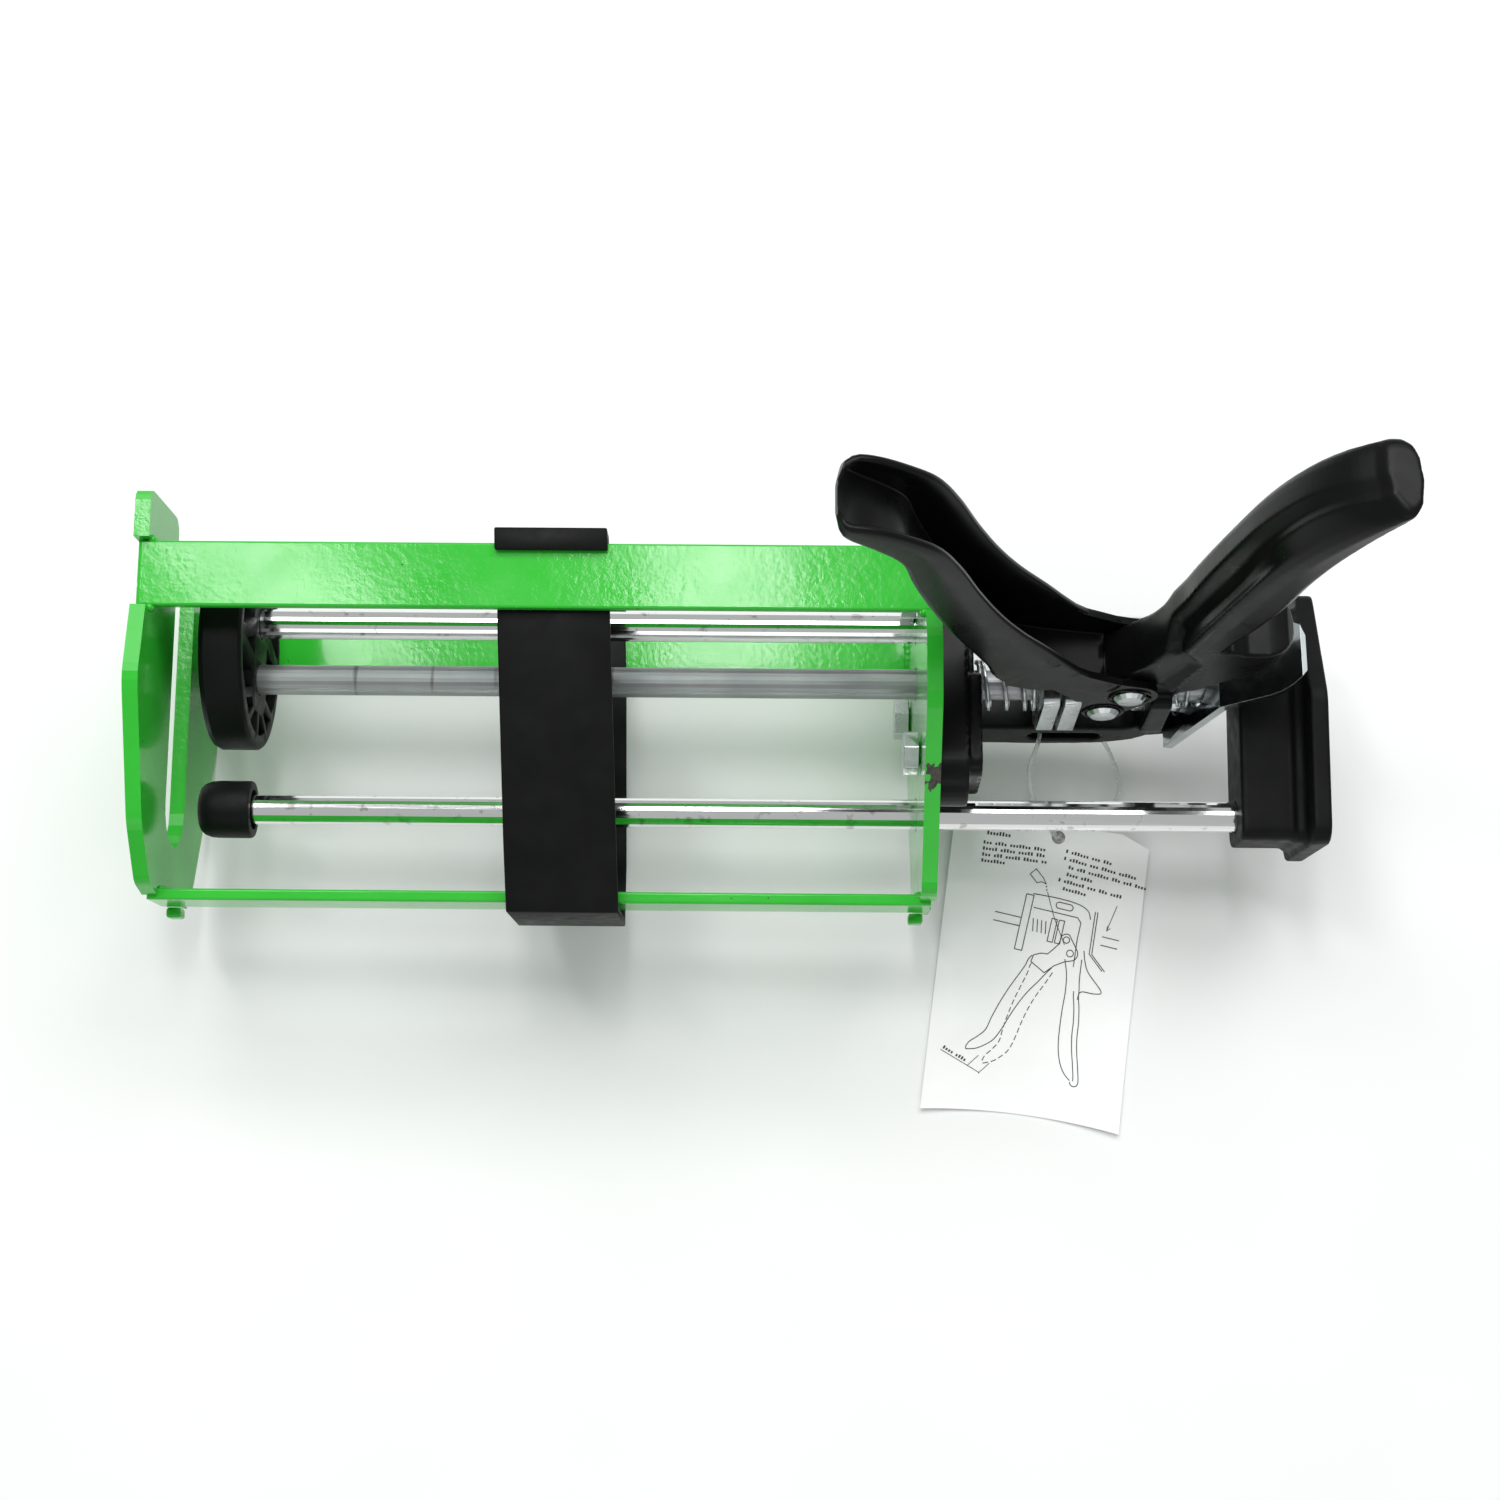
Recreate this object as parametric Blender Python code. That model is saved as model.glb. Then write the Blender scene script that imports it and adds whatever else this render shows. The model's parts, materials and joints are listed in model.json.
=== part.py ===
"""Two-cartridge caulking gun, lying on its carriage with the handle up.

Lengths are in millimetres until a mesh is made. The design frame has x = 0 on the rear
plate's outer face (+x towards the yoke), y = 0 and z = 0 on the drive rod's axis. The
handle frame is the design frame rolled about the drive rod, and the empty "gun" puts the
whole on the table with the middle of its footprint at the origin.
"""
import math

import bmesh
import bpy
from mathutils import Matrix, Vector

MM = 0.001
GAP = 0.3

# Carriage frame
PLATE_THICK = 4.0
SPAN = 196.0
FRONT_FACE = -2 * PLATE_THICK - SPAN
TABLE_Z = 44.5
PLATE_LOW_Y = -60.1
FRONT_PLATE_HIGH_Y = 40.4
REAR_PLATE_HIGH_Y = 33.0
STRAP_WIDTH = 17.0
STRAP_THICK = 3.0
STRAP_Y = 19.0
STRAP_OUTER_Z = 41.0
NOTCH_EDGE_Z = 43.6
SIDE_STRAP_OUTER_Y = -61.2
SIDE_STRAP_Z = 7.5
SLOT_HALF = 10.5
SLOT_Z = 2.0

# Rods, pistons and yoke
ROD_RADIUS = 4.0
ROD_HOLE = 4.6
GUIDE_ROD_Y = 15.3
NARROW_ROD_Y = -35.2
PISTON_FRONT = -191.0
PISTON_BACK = -179.5
WIDE_PISTON_RADIUS = 26.4
WIDE_PISTON_Y = 7.65
NARROW_PISTON_RADIUS = 7.6
YOKE_FRONT = 80.4
YOKE_PLATE_FRONT = 97.2
YOKE_BACK = 101.6
YOKE_BLOCK_HALF = 10.0
YOKE_PLATE_HALF = 20.5

# Handle
HANDLE_ROLL = math.radians(8)
FLANGE_BACK = 11.4
BOW_HALF = 6.5
HOOK_HALF = 4.5
WALL_HALF = 10.0
WEB_HALF = 7.0
RIM_HALF = 9.3
WALL_FRONT = 57.0
WALL_BACK = 62.5
FLANGE_BOLTS = ((-24.0, 14.0), (20.5, 12.0), (0.0, -29.0))
LOBE_RADIUS = 10.0
PIVOT = (50.3, 18.4)
PUSH_PIN = (44.8, 6.7)
PUSH_NOSE = 5.3
TRIGGER_BOSS = 7.2
TRIGGER_HALF = 9.5
TRIGGER_WALL = 2.0
DRIVE_PLATES = {"front_drive_plate": 28.6, "rear_drive_plate": 34.2}
DRIVE_PLATE_THICK = 4.2
LEVER_HEEL = (66.2, -22.0)
LEVER_BEND = (75.8, 11.4)
LEVER_TIP = (94.0, 27.5)
LEVER_THICK = 2.5
LEVER_HALF = 10.0
ADJUSTER_Z = -12.5

# Clip
CLIP_X = -97.0
CLIP_HALF_WIDTH = 14.3
CLIP_THICK = 2.0

# Tag
TAG_CENTRE = (31.85, -72.7)
TAG_SIZE = (55.0, 83.0)
TAG_TURN = math.radians(-7)
TAG_THICK = 0.5
TAG_LIFT = 3.0
LOOP_RADIUS = 0.6

# Overall box, which sets where the design frame stands over the origin
CLIP_LOW_Y = -64.6
GUN_PLACE = (
    -(FRONT_FACE + YOKE_BACK) / 2,
    -(CLIP_LOW_Y + FRONT_PLATE_HIGH_Y) / 2,
    TABLE_Z,
)

PALETTE = {
    "green_coat": ((0.09, 0.62, 0.09), 0.35, 0.0),
    "black_cast": ((0.012, 0.012, 0.013), 0.45, 0.0),
    "black_plastic": ((0.016, 0.016, 0.017), 0.6, 0.0),
    "chrome": ((0.80, 0.80, 0.80), 0.08, 1.0),
    "grey_steel": ((0.33, 0.34, 0.35), 0.38, 1.0),
    "zinc": ((0.62, 0.65, 0.66), 0.3, 1.0),
    "white_card": ((0.86, 0.86, 0.85), 0.7, 0.0),
    "clear_nylon": ((0.75, 0.78, 0.78), 0.25, 0.0),
}


# ---------------------------------------------------------------- outlines
def arc(centre, radius, start_deg, end_deg, steps):
    """Points along an arc, both ends included."""
    points = []
    for i in range(steps + 1):
        angle = math.radians(start_deg + (end_deg - start_deg) * i / steps)
        points.append((centre[0] + radius * math.cos(angle), centre[1] + radius * math.sin(angle)))
    return points


def smooth(points, per_span=3):
    """A Catmull-Rom curve through an open row of points."""
    ends = [points[0]] + list(points) + [points[-1]]
    curve = []
    for i in range(1, len(ends) - 2):
        a, b, c, d = (Vector(ends[j]) for j in range(i - 1, i + 3))
        for k in range(per_span):
            t = k / per_span
            curve.append(tuple(0.5 * (2 * b + (c - a) * t + (2 * a - 5 * b + 4 * c - d) * t ** 2
                                      + (3 * b - a - 3 * c + d) * t ** 3)))
    curve.append(tuple(points[-1]))
    return curve


def rounded(corners, steps=3):
    """A closed outline from (u, v, radius) corners, each corner turned with its radius."""
    outline = []
    count = len(corners)
    for i, (u, v, radius) in enumerate(corners):
        here = Vector((u, v))
        if radius == 0:
            outline.append((u, v))
            continue
        before = (Vector(corners[i - 1][:2]) - here).normalized()
        after = (Vector(corners[(i + 1) % count][:2]) - here).normalized()
        half = before.angle(after) / 2
        reach = radius / math.tan(half)
        centre = here + (before + after).normalized() * radius / math.sin(half)
        first = here + before * reach - centre
        last = here + after * reach - centre
        for k in range(steps + 1):
            turned = first.lerp(last, k / steps).normalized() * radius
            outline.append(tuple(centre + turned))
    return outline


def offset(points, distance):
    """An open row of points moved sideways, to the left of its direction."""
    moved = []
    for i, point in enumerate(points):
        ahead = Vector(points[min(i + 1, len(points) - 1)])
        behind = Vector(points[max(i - 1, 0)])
        along = (ahead - behind).normalized()
        moved.append((point[0] - along.y * distance, point[1] + along.x * distance))
    return moved


def ribbon(points, thickness):
    """The closed outline of a strip of even thickness about a centre line."""
    return offset(points, thickness / 2) + offset(points, -thickness / 2)[::-1]


def mirrored(points):
    """The same points on the other side of v = 0, in reverse order."""
    return [(p[0], -p[1], *p[2:]) for p in reversed(points)]


# ------------------------------------------------------------------ solids
def prism(axis, outline, low, high):
    """A bmesh prism. Its outline is (y, z) for axis x, and (x, z) for axis y."""
    bm = bmesh.new()
    if axis == "x":
        ring = [bm.verts.new((low, u, v)) for u, v in outline]
        step = Vector((high - low, 0, 0))
    else:
        ring = [bm.verts.new((u, low, v)) for u, v in outline]
        step = Vector((0, high - low, 0))
    cap = bm.faces.new(ring)
    grown = bmesh.ops.extrude_face_region(bm, geom=[cap])
    moved = [item for item in grown["geom"] if isinstance(item, bmesh.types.BMVert)]
    bmesh.ops.translate(bm, verts=moved, vec=step)
    bmesh.ops.recalc_face_normals(bm, faces=bm.faces)
    return bm


def turned(profile, segments=24, centre=(0, 0, 0), axis="x"):
    """A bmesh turned about x (or y) from (position, radius) points, closed at both ends."""
    bm = bmesh.new()
    rings = []
    for along, radius in profile:
        ring = []
        for i in range(segments):
            angle = 2 * math.pi * i / segments
            ring.append(bm.verts.new((along, radius * math.cos(angle), radius * math.sin(angle))))
        rings.append(ring)
    for lower, upper in zip(rings, rings[1:]):
        for i in range(segments):
            j = (i + 1) % segments
            bm.faces.new((lower[i], lower[j], upper[j], upper[i]))
    bm.faces.new(rings[0])
    bm.faces.new(rings[-1])
    if axis == "y":
        bmesh.ops.rotate(bm, verts=bm.verts, matrix=Matrix.Rotation(math.pi / 2, 3, "Z"))
    bmesh.ops.translate(bm, verts=bm.verts, vec=Vector(centre))
    bmesh.ops.recalc_face_normals(bm, faces=bm.faces)
    return bm


def hole(radius, low, high, centre=(0, 0), axis="x", segments=20):
    """A plain cylinder to cut with. Its centre is (y, z) for axis x, and (x, z) for axis y."""
    place = (0, *centre) if axis == "x" else (centre[0], 0, centre[1])
    return turned([(low, radius), (high, radius)], segments, place, axis)


def hexagon(across_flats, low, high, centre):
    """A hexagonal prism along x, with a corner towards +z."""
    radius = across_flats / math.sqrt(3)
    return prism("x", arc(centre, radius, 90, 390, 5), low, high)


# ----------------------------------------------------------------- objects
def clear_scene():
    for obj in list(bpy.data.objects):
        bpy.data.objects.remove(obj)


def material(name):
    found = bpy.data.materials.get(name)
    if found:
        return found
    colour, roughness, metallic = PALETTE[name]
    made = bpy.data.materials.new(name)
    made.use_nodes = True
    shader = made.node_tree.nodes["Principled BSDF"]
    shader.inputs["Base Color"].default_value = (*colour, 1)
    shader.inputs["Roughness"].default_value = roughness
    shader.inputs["Metallic"].default_value = metallic
    return made


def empty(name, parent=None, place=(0, 0, 0)):
    obj = bpy.data.objects.new(name, None)
    obj.parent = parent
    obj.location = Vector(place) * MM
    bpy.context.collection.objects.link(obj)
    return obj


def add(name, bm, finish, parent, centre=(0, 0, 0), sharp_deg=35):
    """Makes the object with its own origin at centre, given in the parent's frame."""
    bmesh.ops.translate(bm, verts=bm.verts, vec=-Vector(centre))
    bmesh.ops.scale(bm, verts=bm.verts, vec=(MM, MM, MM))
    mesh = bpy.data.meshes.new(name)
    bm.to_mesh(mesh)
    bm.free()
    mesh.shade_smooth()
    mesh.set_sharp_from_angle(angle=math.radians(sharp_deg))
    mesh.materials.append(material(finish))
    obj = bpy.data.objects.new(name, mesh)
    obj.parent = parent
    obj.location = Vector(centre) * MM
    bpy.context.collection.objects.link(obj)
    return obj


def combine(obj, bm, operation, centre=(0, 0, 0)):
    """Joins or cuts obj with a hidden helper solid, given in the parent's frame."""
    name = f"{obj.name}_{operation.lower()}_{len(obj.modifiers)}"
    helper = add(name, bm, "black_plastic", obj.parent, centre)
    helper.hide_render = True
    helper.display_type = "WIRE"
    modifier = obj.modifiers.new(name, "BOOLEAN")
    modifier.operation = operation
    modifier.solver = "EXACT"
    modifier.object = helper


def cut(obj, bm):
    combine(obj, bm, "DIFFERENCE")


def join(obj, bm):
    combine(obj, bm, "UNION")


def wire(name, points, radius, finish, parent, resolution=2):
    """A tube along a row of points, with filled ends."""
    curve = bpy.data.curves.new(name, "CURVE")
    curve.dimensions = "3D"
    curve.bevel_depth = radius * MM
    curve.bevel_resolution = resolution
    curve.use_fill_caps = True
    spline = curve.splines.new("POLY")
    spline.points.add(len(points) - 1)
    for target, point in zip(spline.points, points):
        target.co = (*(Vector(point) * MM), 1)
    curve.materials.append(material(finish))
    obj = bpy.data.objects.new(name, curve)
    obj.parent = parent
    bpy.context.collection.objects.link(obj)
    return obj


def helix(start, end, radius, turns, per_turn=14):
    """Points of a compression spring along x, closed up at both ends."""
    points = []
    count = turns * per_turn
    for i in range(count + 1):
        t = i / count
        eased = t - 0.09 * math.sin(2 * math.pi * t)
        angle = 2 * math.pi * turns * t
        points.append((start + (end - start) * eased, radius * math.cos(angle), radius * math.sin(angle)))
    return points


# ---------------------------------------------------------- carriage frame
def strap_notch(edge_z):
    """The notch that a strap lies in, from its high edge to its low edge."""
    low = STRAP_Y - STRAP_WIDTH / 2 - GAP
    high = STRAP_Y + STRAP_WIDTH / 2 + GAP
    floor = math.copysign(STRAP_OUTER_Z - STRAP_THICK - GAP, edge_z)
    return [(high, edge_z, 0), (high, floor, 0), (low, floor, 0), (low, edge_z, 0)]


def plate_corners(high_y, near_slope):
    """An end plate's corners from its high near corner round to its high table corner."""
    notch_y = SIDE_STRAP_OUTER_Y + STRAP_THICK + GAP
    half = STRAP_WIDTH / 2 + GAP
    side_notch = [(PLATE_LOW_Y, SIDE_STRAP_Z + half, 0), (notch_y, SIDE_STRAP_Z + half, 0),
                  (notch_y, SIDE_STRAP_Z - half, 0), (PLATE_LOW_Y, SIDE_STRAP_Z - half, 0)]
    table_slope = [(PLATE_LOW_Y, -17, 4), (-52.7, -23.5, 8), (-10.4, -TABLE_Z, 8)]
    near = [(high_y, NOTCH_EDGE_Z, 3)] + strap_notch(NOTCH_EDGE_Z) + near_slope
    table = table_slope + strap_notch(-TABLE_Z)[::-1] + [(high_y, -TABLE_Z, 3)]
    return near + side_notch + table


def front_plate(gun):
    """A C: the slot in its high side lets the cartridge's nozzle in sideways."""
    near_slope = [(-9, 48, 12), (-44, 36, 14), (-58, 25, 6)]
    corners = plate_corners(FRONT_PLATE_HIGH_Y, near_slope)
    near_arm = (FRONT_PLATE_HIGH_Y, SLOT_Z + SLOT_HALF, 4)
    table_arm = (FRONT_PLATE_HIGH_Y, SLOT_Z - SLOT_HALF, 4)
    slot_end = [(y, z, 0) for y, z in arc((NARROW_ROD_Y, SLOT_Z), SLOT_HALF, -90, -270, 10)]
    outline = rounded([near_arm] + corners + [table_arm] + slot_end)
    add("front_plate", prism("x", outline, FRONT_FACE, FRONT_FACE + PLATE_THICK), "green_coat", gun)


def rear_plate(gun):
    near_slope = [(3, 49.5, 6), (-14, 49.5, 8), (-37, 36, 8), (-59, 24, 6)]
    corners = plate_corners(REAR_PLATE_HIGH_Y, near_slope)
    plate = add("rear_plate", prism("x", rounded(corners), -PLATE_THICK, 0), "green_coat", gun)
    for y in (0, GUIDE_ROD_Y, NARROW_ROD_Y):
        cut(plate, hole(ROD_HOLE, -PLATE_THICK - 1, 1, (y, 0)))
    for place in FLANGE_BOLTS:
        cut(plate, hole(3.3, -PLATE_THICK - 1, 1, rolled(place)))


def straps(gun):
    low = STRAP_Y - STRAP_WIDTH / 2
    high = STRAP_Y + STRAP_WIDTH / 2
    inner = STRAP_OUTER_Z - STRAP_THICK
    for name, sign in (("near_strap", 1), ("far_strap", -1)):
        outer = sign * STRAP_OUTER_Z
        section = [(low, sign * inner), (high, sign * inner), (high, outer), (low, outer)]
        add(name, prism("x", section, FRONT_FACE + 1, -1), "green_coat", gun)
    bottom = SIDE_STRAP_Z - STRAP_WIDTH / 2
    top = SIDE_STRAP_Z + STRAP_WIDTH / 2
    side_high = SIDE_STRAP_OUTER_Y + STRAP_THICK
    section = [(SIDE_STRAP_OUTER_Y, bottom), (side_high, bottom), (side_high, top), (SIDE_STRAP_OUTER_Y, top)]
    add("side_strap", prism("x", section, FRONT_FACE + 1, -1), "green_coat", gun)


def cartridge_clip(gun):
    """A bent plastic band: round the near and far straps' edges and outside the side strap."""
    lip_y = STRAP_Y + STRAP_WIDTH / 2 + 2.4
    lip_z = STRAP_OUTER_Z + GAP + CLIP_THICK / 2
    leg_z = STRAP_OUTER_Z - STRAP_THICK - GAP - CLIP_THICK / 2
    floor_y = CLIP_LOW_Y + CLIP_THICK / 2
    near = [(lip_y - 4.8, lip_z), (lip_y, lip_z), (lip_y, leg_z), (4, leg_z), (-47, 26.5), (floor_y, 17.5)]
    far = [(floor_y, -8), (-47, -20), (4, -leg_z), (lip_y, -leg_z), (lip_y, -lip_z), (lip_y - 4.8, -lip_z)]
    line = near + far
    clip = prism("x", ribbon_square(line, CLIP_THICK), CLIP_X - CLIP_HALF_WIDTH, CLIP_X + CLIP_HALF_WIDTH)
    add("cartridge_clip", clip, "black_plastic", gun, (CLIP_X, 0, 0))


def ribbon_square(points, thickness):
    """Like ribbon, with each bend mitred so that both faces stay parallel to the line."""
    left, right = [], []
    for i, point in enumerate(points):
        here = Vector(point)
        into = (here - Vector(points[max(i - 1, 0)])).normalized()
        out = (Vector(points[min(i + 1, len(points) - 1)]) - here).normalized()
        into = into if i > 0 else out
        out = out if i < len(points) - 1 else into
        normal = Vector((-into.y - out.y, into.x + out.x)).normalized()
        reach = thickness / 2 / normal.dot(Vector((-into.y, into.x)))
        left.append(tuple(here + normal * reach))
        right.append(tuple(here - normal * reach))
    return left + right[::-1]


# ------------------------------------------------------------ rod carriage
def rods(gun):
    finishes = {"drive_rod": ("grey_steel", 0), "guide_rod": ("chrome", GUIDE_ROD_Y),
                "narrow_rod": ("chrome", NARROW_ROD_Y)}
    front = PISTON_BACK - 6
    back = YOKE_FRONT + 9
    for name, (finish, y) in finishes.items():
        profile = [(front, ROD_RADIUS - 0.4), (front + 0.5, ROD_RADIUS),
                   (back - 0.5, ROD_RADIUS), (back, ROD_RADIUS - 0.4)]
        rod = add(name, turned(profile, 24, (0, y, 0)), finish, gun)
        cut(rod, hole(2.5 + GAP, front - 1, front + 12, (y, 0), segments=12))
        cut(rod, hole(2.5 + GAP, back - 12, back + 1, (y, 0), segments=12))


def screw(name, gun, y, head_x, direction):
    """A cheese-head screw whose head ends at head_x and whose shank runs along direction."""
    profile = [(head_x, 4.0), (head_x + direction * 0.5, 4.4), (head_x + direction * 3, 4.4),
               (head_x + direction * 3, 2.5), (head_x + direction * 13, 2.5)]
    add(name, turned(profile, 16, (0, y, 0)), "zinc", gun)


def pistons(gun):
    wide_profile = [(PISTON_FRONT, WIDE_PISTON_RADIUS - 1.5), (PISTON_FRONT + 1.5, WIDE_PISTON_RADIUS),
                    (PISTON_BACK - 0.5, WIDE_PISTON_RADIUS), (PISTON_BACK, WIDE_PISTON_RADIUS - 0.5)]
    wide = add("wide_piston", turned(wide_profile, 48, (0, WIDE_PISTON_Y, 0)), "black_plastic", gun)
    for i in range(12):
        cut(wide, piston_pocket(i))
    narrow_profile = [(PISTON_FRONT, NARROW_PISTON_RADIUS - 1.5), (PISTON_FRONT + 1.5, NARROW_PISTON_RADIUS),
                      (PISTON_BACK - 0.5, NARROW_PISTON_RADIUS), (PISTON_BACK, NARROW_PISTON_RADIUS - 0.5)]
    narrow = add("narrow_piston", turned(narrow_profile, 32, (0, NARROW_ROD_Y, 0)), "black_plastic", gun)
    seats = ((wide, 0, 1), (wide, GUIDE_ROD_Y, 2), (narrow, NARROW_ROD_Y, 3))
    for piston, y, number in seats:
        cut(piston, hole(ROD_RADIUS + GAP, PISTON_BACK - 6 - GAP, PISTON_BACK + 1, (y, 0)))
        cut(piston, hole(2.5 + GAP, PISTON_FRONT - 1, PISTON_BACK, (y, 0), segments=12))
        cut(piston, hole(4.4 + GAP, PISTON_FRONT - 1, PISTON_FRONT + 3.2, (y, 0)))
        screw(f"piston_screw_{number}", gun, y, PISTON_FRONT, 1)


def piston_pocket(index):
    """One tapered pocket of the ring of pockets in the wide piston's back."""
    step = 360 / 12
    inner = arc((WIDE_PISTON_Y, 0), WIDE_PISTON_RADIUS - 8.4, index * step + 4, (index + 1) * step - 4, 2)
    outer = arc((WIDE_PISTON_Y, 0), WIDE_PISTON_RADIUS - 2.5, (index + 1) * step - 3, index * step + 3, 3)
    return prism("x", inner + outer, PISTON_BACK - 5, PISTON_BACK + 1)


def rear_yoke(gun):
    block = rounded([(20, -YOKE_BLOCK_HALF + 4, 3), (20, YOKE_BLOCK_HALF - 4, 3), (7, YOKE_BLOCK_HALF, 3),
                     (-42.4, YOKE_BLOCK_HALF, 3), (-42.4, -YOKE_BLOCK_HALF, 3), (7, -YOKE_BLOCK_HALF, 3)])
    yoke = add("rear_yoke", prism("x", block, YOKE_FRONT, YOKE_PLATE_FRONT + 2), "black_plastic", gun)
    side = [(24.4, 5, 4), (-5.5, YOKE_PLATE_HALF, 6), (-45.2, YOKE_PLATE_HALF, 6)]
    join(yoke, prism("x", rounded(side + mirrored(side)), YOKE_PLATE_FRONT, YOKE_BACK))
    for number, y in enumerate((0, GUIDE_ROD_Y, NARROW_ROD_Y), start=1):
        cut(yoke, hole(ROD_RADIUS + GAP, YOKE_FRONT - 1, YOKE_FRONT + 9 + GAP, (y, 0)))
        cut(yoke, hole(2.5 + GAP, YOKE_FRONT, YOKE_BACK + 1, (y, 0), segments=12))
        cut(yoke, hole(4.4 + GAP, YOKE_FRONT + 10.5, YOKE_BACK + 1, (y, 0)))
        screw(f"yoke_screw_{number}", gun, y, YOKE_FRONT + 14, -1)


# ------------------------------------------------------------------ handle
def rolled(place):
    """A (y, z) place of the handle frame, in the design frame."""
    y, z = place
    cos, sin = math.cos(HANDLE_ROLL), math.sin(HANDLE_ROLL)
    return (y * cos + z * sin, z * cos - y * sin)


def flange_outline():
    """Three round lobes about the bolts, joined by straight tangents."""
    left, right, low = FLANGE_BOLTS
    outline = arc(right, LOBE_RADIUS, -25, 87, 8)
    outline += arc(left, LOBE_RADIUS, 87, 208, 8)
    outline += arc(low, LOBE_RADIUS - 1, 208, 335, 8)
    return outline


def bow_outline():
    """The bow on the table side and the rear wall."""
    outer = smooth([(5, -28.5), (24, -29.5), (40, -29.3), (52, -27.5), (59, -23.5), (62, -17)])
    wall = [(WALL_BACK, -14), (WALL_BACK, 9), (WALL_FRONT, 9), (WALL_FRONT, -12)]
    inner = arc((52, -12), 5, 0, -90, 3)[1:] + [(5, -17)]
    return outer + wall + inner


def hook_outline():
    """The hook behind the bow, in which the release lever's heel rests."""
    outer = smooth([(48, -25), (58, -28), (65, -26.8), (71.5, -23.5), (73, -19)])
    seat = [(71.6, -17), (70, -18), (69.6, -21), (67.5, -24), (64.5, -24.5)]
    inner = seat + [(62, -22), (61.4, -16), (52, -18)]
    return outer + inner


def grip_back():
    """The grip's rear edge: down the back of the wall, round the spur and along to the tip."""
    spur = [(WALL_BACK, 12), (64, 22), (73, 31), (83, 39.5), (87, 43.5), (86, 46.5), (79, 47), (72, 49.5)]
    back = [(71, 55), (75.5, 65), (79.5, 78), (82.5, 91), (86.8, 104), (91.5, 115.5), (96, 127)]
    return smooth(spur + back, 2)


def grip_front():
    """The grip's front edge, from the tip down to the pivot lug."""
    return smooth([(90, 135), (84.5, 129), (79, 120.5), (74.2, 106), (69.5, 91), (65.6, 75),
                   (60.8, 58), (54, 37.4), (47.5, 25)], 2)


def rim_outline():
    """The wider rim along the grip's rear edge, with the whole of the spur."""
    back = grip_back()[2:]
    upper = [point for point in back if point[1] > 52]
    return back + offset(upper, 3.6)[::-1] + [(66, 45), (64.5, 30)]


def handle_casting(handle):
    bow = prism("y", bow_outline(), -BOW_HALF, BOW_HALF)
    casting = add("handle_casting", bow, "black_cast", handle)
    join(casting, prism("x", flange_outline(), GAP, FLANGE_BACK))
    join(casting, prism("y", hook_outline(), -HOOK_HALF, HOOK_HALF))
    wall = [(WALL_FRONT, -16.5), (WALL_BACK, -16.5), (WALL_BACK, 9), (WALL_FRONT, 9)]
    join(casting, prism("y", wall, -WALL_HALF, WALL_HALF))
    tip = smooth([(96, 127), (98.2, 132), (95.5, 136), (90, 135)], 3)[1:-1]
    lug = arc(PIVOT, 6.5, 135, 270, 6)
    root = [(WALL_FRONT + 0.5, 11.9), (WALL_FRONT + 0.5, 5), (WALL_BACK - 0.5, 5)]
    web = grip_back() + tip + grip_front() + lug + root
    join(casting, prism("y", web, -WEB_HALF, WEB_HALF))
    join(casting, prism("y", rim_outline(), -RIM_HALF, RIM_HALF))
    cut(casting, prism("y", rounded([(28, -20.5, 2.8), (48, -20.5, 2.8), (48, -26.3, 2.8), (28, -26.3, 2.8)]),
                        -12, 12))
    cut(casting, hole(ROD_HOLE, -1, WALL_BACK + 1))
    guide_y, guide_z = GUIDE_ROD_Y * math.cos(HANDLE_ROLL), GUIDE_ROD_Y * math.sin(HANDLE_ROLL)
    cut(casting, hole(ROD_HOLE, -1, FLANGE_BACK + 1, (guide_y, guide_z)))
    cut(casting, hole(2.5 + GAP, WALL_FRONT - 3, WALL_BACK + 1, (0, ADJUSTER_Z), segments=12))
    cut(casting, hole(3.0 + GAP, -12, 12, PIVOT, "y", 16))
    for place in FLANGE_BOLTS:
        cut(casting, hole(3.0 + GAP, -1, 9.3, place, segments=12))


def flange_bolts(handle):
    """Hex bolts from inside the carriage, through the rear plate into the flange."""
    seat = -PLATE_THICK - GAP
    for number, place in enumerate(FLANGE_BOLTS, start=1):
        bolt = add(f"flange_bolt_{number}", hexagon(10, seat - 4, seat, place), "zinc", handle)
        join(bolt, hole(3.0, seat - 1, 9, place, segments=12))


def pin(name, handle, place, radius, head_half):
    """A riveted pin across the handle, with a domed head at each end."""
    head = [(head_half + 1.6, 1.5), (head_half + 1.2, 3.3), (head_half, 4.4), (head_half, radius)]
    profile = [(-along, size) for along, size in head] + head[::-1]
    add(name, turned(profile, 16, (place[0], 0, place[1]), "y"), "zinc", handle, (place[0], 0, place[1]))


def trigger_front():
    """The trigger's outer edge, from its tip down to where the channel's floor ends."""
    return smooth([(-28.8, 123.5), (-25.6, 117.5), (-18.6, 111.5), (-12.8, 104), (-9.3, 92), (-4.6, 77),
                   (1.2, 62), (7.4, 48.5), (12, 37), (14.6, 29), (20, 24.4), (28, 22.5)], 2)


def trigger_back():
    """The trigger's open edge, from the pivot out to the tip."""
    return smooth([(53.5, 26), (45, 29.5), (38, 35), (27.5, 47), (19, 60), (13.6, 70.5), (7.5, 85.5),
                   (1.3, 102), (-4.5, 113), (-11.1, 119.5), (-18.4, 124.5)], 2)


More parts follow.
